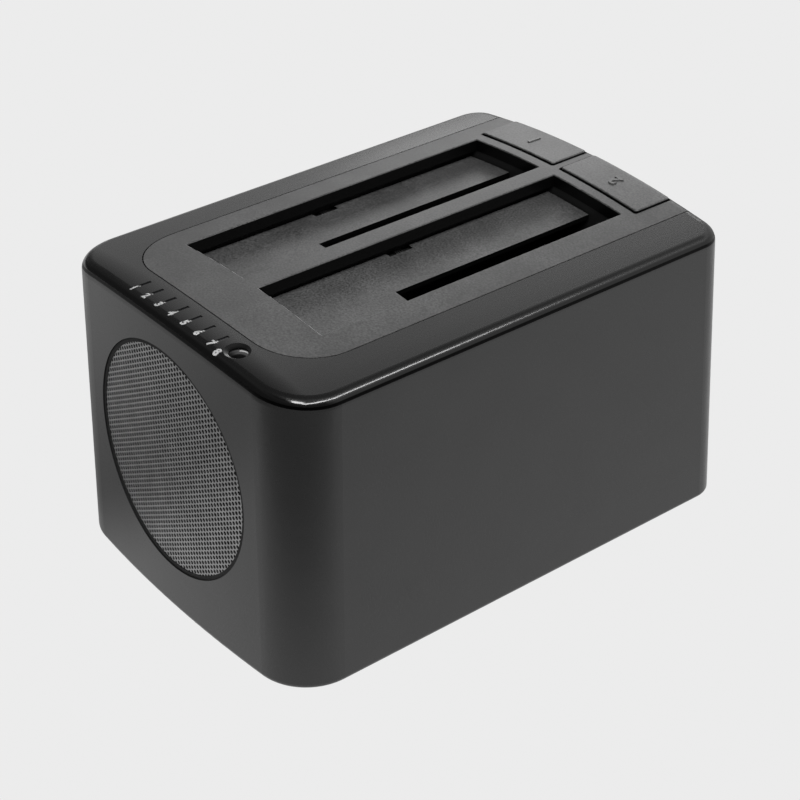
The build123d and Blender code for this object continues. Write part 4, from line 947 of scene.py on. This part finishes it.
class DOCK_OT_inside(bpy.types.Operator):
    """Finishes the boards, their parts, the fan and its bracket"""

    bl_idname = "dock.inside"
    bl_label = "Boards and fan"

    def execute(self, context):
        board = moulded(
            "board_mask", (0.01, 0.10, 0.045), 0.28, grain_size=1.2 * MM, relief=0.01 * MM, change=0.25
        )
        chip = moulded("chip_moulded", grey(0.02), 0.55)
        fan = moulded("fan_moulded", grey(0.015), 0.40)
        steel = screw_steel()
        dress(board, "main_board", "front_board")
        dress(chip, "control_chips", "clone_switch")
        dress(metal("can_aluminium", (0.6, 0.6, 0.62), 0.35), "capacitors")
        dress(moulded("core_ferrite", (0.09, 0.09, 0.095), 0.7), "inductors")
        dress(fan, "fan_frame", "fan_impeller")
        dress(moulded("bracket_painted", grey(0.010), 0.5), "fan_bracket")
        dress(metal("bearing_sintered", (0.60, 0.45, 0.22), 0.45), "fan_bearing")
        dress(steel, "board_screws", "bracket_screws", "fan_screws", "front_board_screws")
        return {"FINISHED"}


def area_light(name, place, size, power):
    """Soft rectangular light at a place, aimed at the middle of the dock."""
    aim = Vector((0.0, 0.0, 0.06))
    light = bpy.data.lights.new(name, "AREA")
    light.shape = "RECTANGLE"
    light.size, light.size_y = size
    light.energy = power
    holder = bpy.data.objects.new(name, light)
    holder.location = place
    holder.rotation_euler = (aim - Vector(place)).to_track_quat("-Z", "Y").to_euler()
    bpy.context.scene.collection.objects.link(holder)


def photograph_camera():
    """Camera at the photograph's angle: azimuth, elevation, roll, place and focal length."""
    azimuth, elevation, roll = math.radians(52.09), math.radians(32.77), math.radians(-0.7178)
    place = Vector((391.87, -303.87, 356.9)) * MM
    level = math.cos(elevation)
    back = Vector((math.sin(azimuth) * level, -math.cos(azimuth) * level, math.sin(elevation)))
    right = Vector((math.cos(azimuth), math.sin(azimuth), 0.0))
    up = back.cross(right)
    right_turned = math.cos(roll) * right + math.sin(roll) * up
    up_turned = math.cos(roll) * up - math.sin(roll) * right
    turn = Matrix((right_turned, up_turned, back)).transposed().to_4x4()
    data = bpy.data.cameras.new("photograph_camera")
    data.sensor_width = 36.0
    data.lens = 91.71
    data.clip_start = 0.01
    camera = bpy.data.objects.new("photograph_camera", data)
    camera.matrix_world = Matrix.Translation(place) @ turn
    bpy.context.scene.collection.objects.link(camera)
    bpy.context.scene.camera = camera


def shown_tone(tree, glow, tone):
    """An even tone where the camera looks, and a glow of its own for light and reflections."""
    seen = add_node(tree, "ShaderNodeLightPath").outputs["Is Camera Ray"]
    return mixed(tree, seen, glow, tone)


def soft_room(scene, sizes):
    """World: the backdrop's tone for the camera, and for reflections a bright wall low behind the dock.

    Heights and the share towards the rear are those of a direction of length one."""
    below_band, above_band, front_share = 0.55, 0.5, 0.12
    world = bpy.data.worlds.new("soft_room")
    scene.world = world
    world.use_nodes = True
    tree = world.node_tree
    tree.nodes.clear()
    _, rear, height = coordinates(tree, "Generated")
    wall = height.eased(0.70, 0.78, sizes.horizon, sizes.room)
    band = height.eased(0.50, 0.62, below_band, 1.0) * height.eased(0.67, 0.73, 1.0, above_band)
    level = (1.0001 - height * height).work("SQRT")
    behind = (rear / level).eased(0.10, 0.55, front_share, 1.0)
    strength = shown_tone(tree, wall * band * behind, sizes.floor_tone)
    back = add_node(tree, "ShaderNodeBackground", {"Strength": strength})
    add_node(tree, "ShaderNodeOutputWorld", {0: back.outputs[0]})


def paper_floor(sizes):
    """Large pale floor of even tone, whose light fades towards the camera and the left for reflections."""
    half_width, drop = 3.0, 0.2 * MM
    near_glow, left_share, far_share = 0.22, 0.42, 0.45
    shape = bmesh.new()
    bmesh.ops.create_grid(shape, x_segments=1, y_segments=1, size=half_width)
    floor = new_piece("floor", mesh_of("floor", shape))
    floor.location.z = -drop
    material = bpy.data.materials.new("floor_paper")
    material.use_nodes = True
    tree = material.node_tree
    tree.nodes.clear()
    x, y, _ = coordinates(tree, "Object")
    fade = (x - y).eased(0.12, 0.28, sizes.floor_tone * sizes.floor_glow, near_glow)
    left = x.eased(-0.07, -0.02, left_share, 1.0)
    far = (x + y).eased(-0.33, -0.16, far_share, 0.0)
    strength = shown_tone(tree, fade * (left + far).work("MINIMUM", 1.0), sizes.floor_tone)
    glow = add_node(tree, "ShaderNodeEmission", {"Strength": strength})
    add_node(tree, "ShaderNodeOutputMaterial", {0: glow.outputs[0]})
    floor.data.materials.append(material)


class DOCK_OT_stage(bpy.types.Operator):
    """Lays the pale floor, sets the soft lights and places the camera"""

    bl_idname = "dock.stage"
    bl_label = "Floor, lights and camera"

    def execute(self, context):
        sizes = context.scene.dock_stage
        context.scene.view_settings.view_transform = "Standard"
        soft_room(context.scene, sizes)
        paper_floor(sizes)
        area_light("strip_light", (0.60, 0.06, 0.85), (1.1, 0.09), sizes.strip_power)
        area_light("corner_light", (0.42, -0.48, 0.90), (0.34, 0.24), sizes.strip_power * 0.7)
        area_light("rear_softbox", (-0.75, 0.80, 0.52), (0.55, 0.28), sizes.rear_power)
        photograph_camera()
        return {"FINISHED"}


STEPS = ("shell", "cover", "bays", "keys", "grille", "controls", "rear", "inside", "stage")


class DOCK_PT_panel(bpy.types.Panel):
    """Lists the dock's operators and sizes"""

    bl_idname = "DOCK_PT_panel"
    bl_label = "Drive dock"
    bl_space_type = "VIEW_3D"
    bl_region_type = "UI"
    bl_category = "Dock"

    def draw(self, context):
        column = self.layout.column()
        for step in STEPS:
            column.operator(f"dock.{step}")
        for group in (context.scene.dock_finish, context.scene.dock_grille, context.scene.dock_stage):
            for name in group.bl_rna.properties.keys():
                if name not in ("rna_type", "name"):
                    column.prop(group, name)


CLASSES = (
    DockFinish,
    DockGrille,
    DockStage,
    DOCK_OT_shell,
    DOCK_OT_cover,
    DOCK_OT_bays,
    DOCK_OT_keys,
    DOCK_OT_grille,
    DOCK_OT_controls,
    DOCK_OT_rear,
    DOCK_OT_inside,
    DOCK_OT_stage,
    DOCK_PT_panel,
)


def register():
    """Registers the classes and hangs the sizes on the scene."""
    for made in CLASSES:
        bpy.utils.register_class(made)
    bpy.types.Scene.dock_finish = bpy.props.PointerProperty(type=DockFinish)
    bpy.types.Scene.dock_grille = bpy.props.PointerProperty(type=DockGrille)
    bpy.types.Scene.dock_stage = bpy.props.PointerProperty(type=DockStage)


def unregister():
    """Takes the sizes off the scene and unregisters the classes."""
    del bpy.types.Scene.dock_stage
    del bpy.types.Scene.dock_grille
    del bpy.types.Scene.dock_finish
    for made in reversed(CLASSES):
        bpy.utils.unregister_class(made)


def main():
    """Builds everything in order."""
    register()
    for step in STEPS:
        getattr(bpy.ops.dock, step)()


if __name__ == "__main__":
    main()
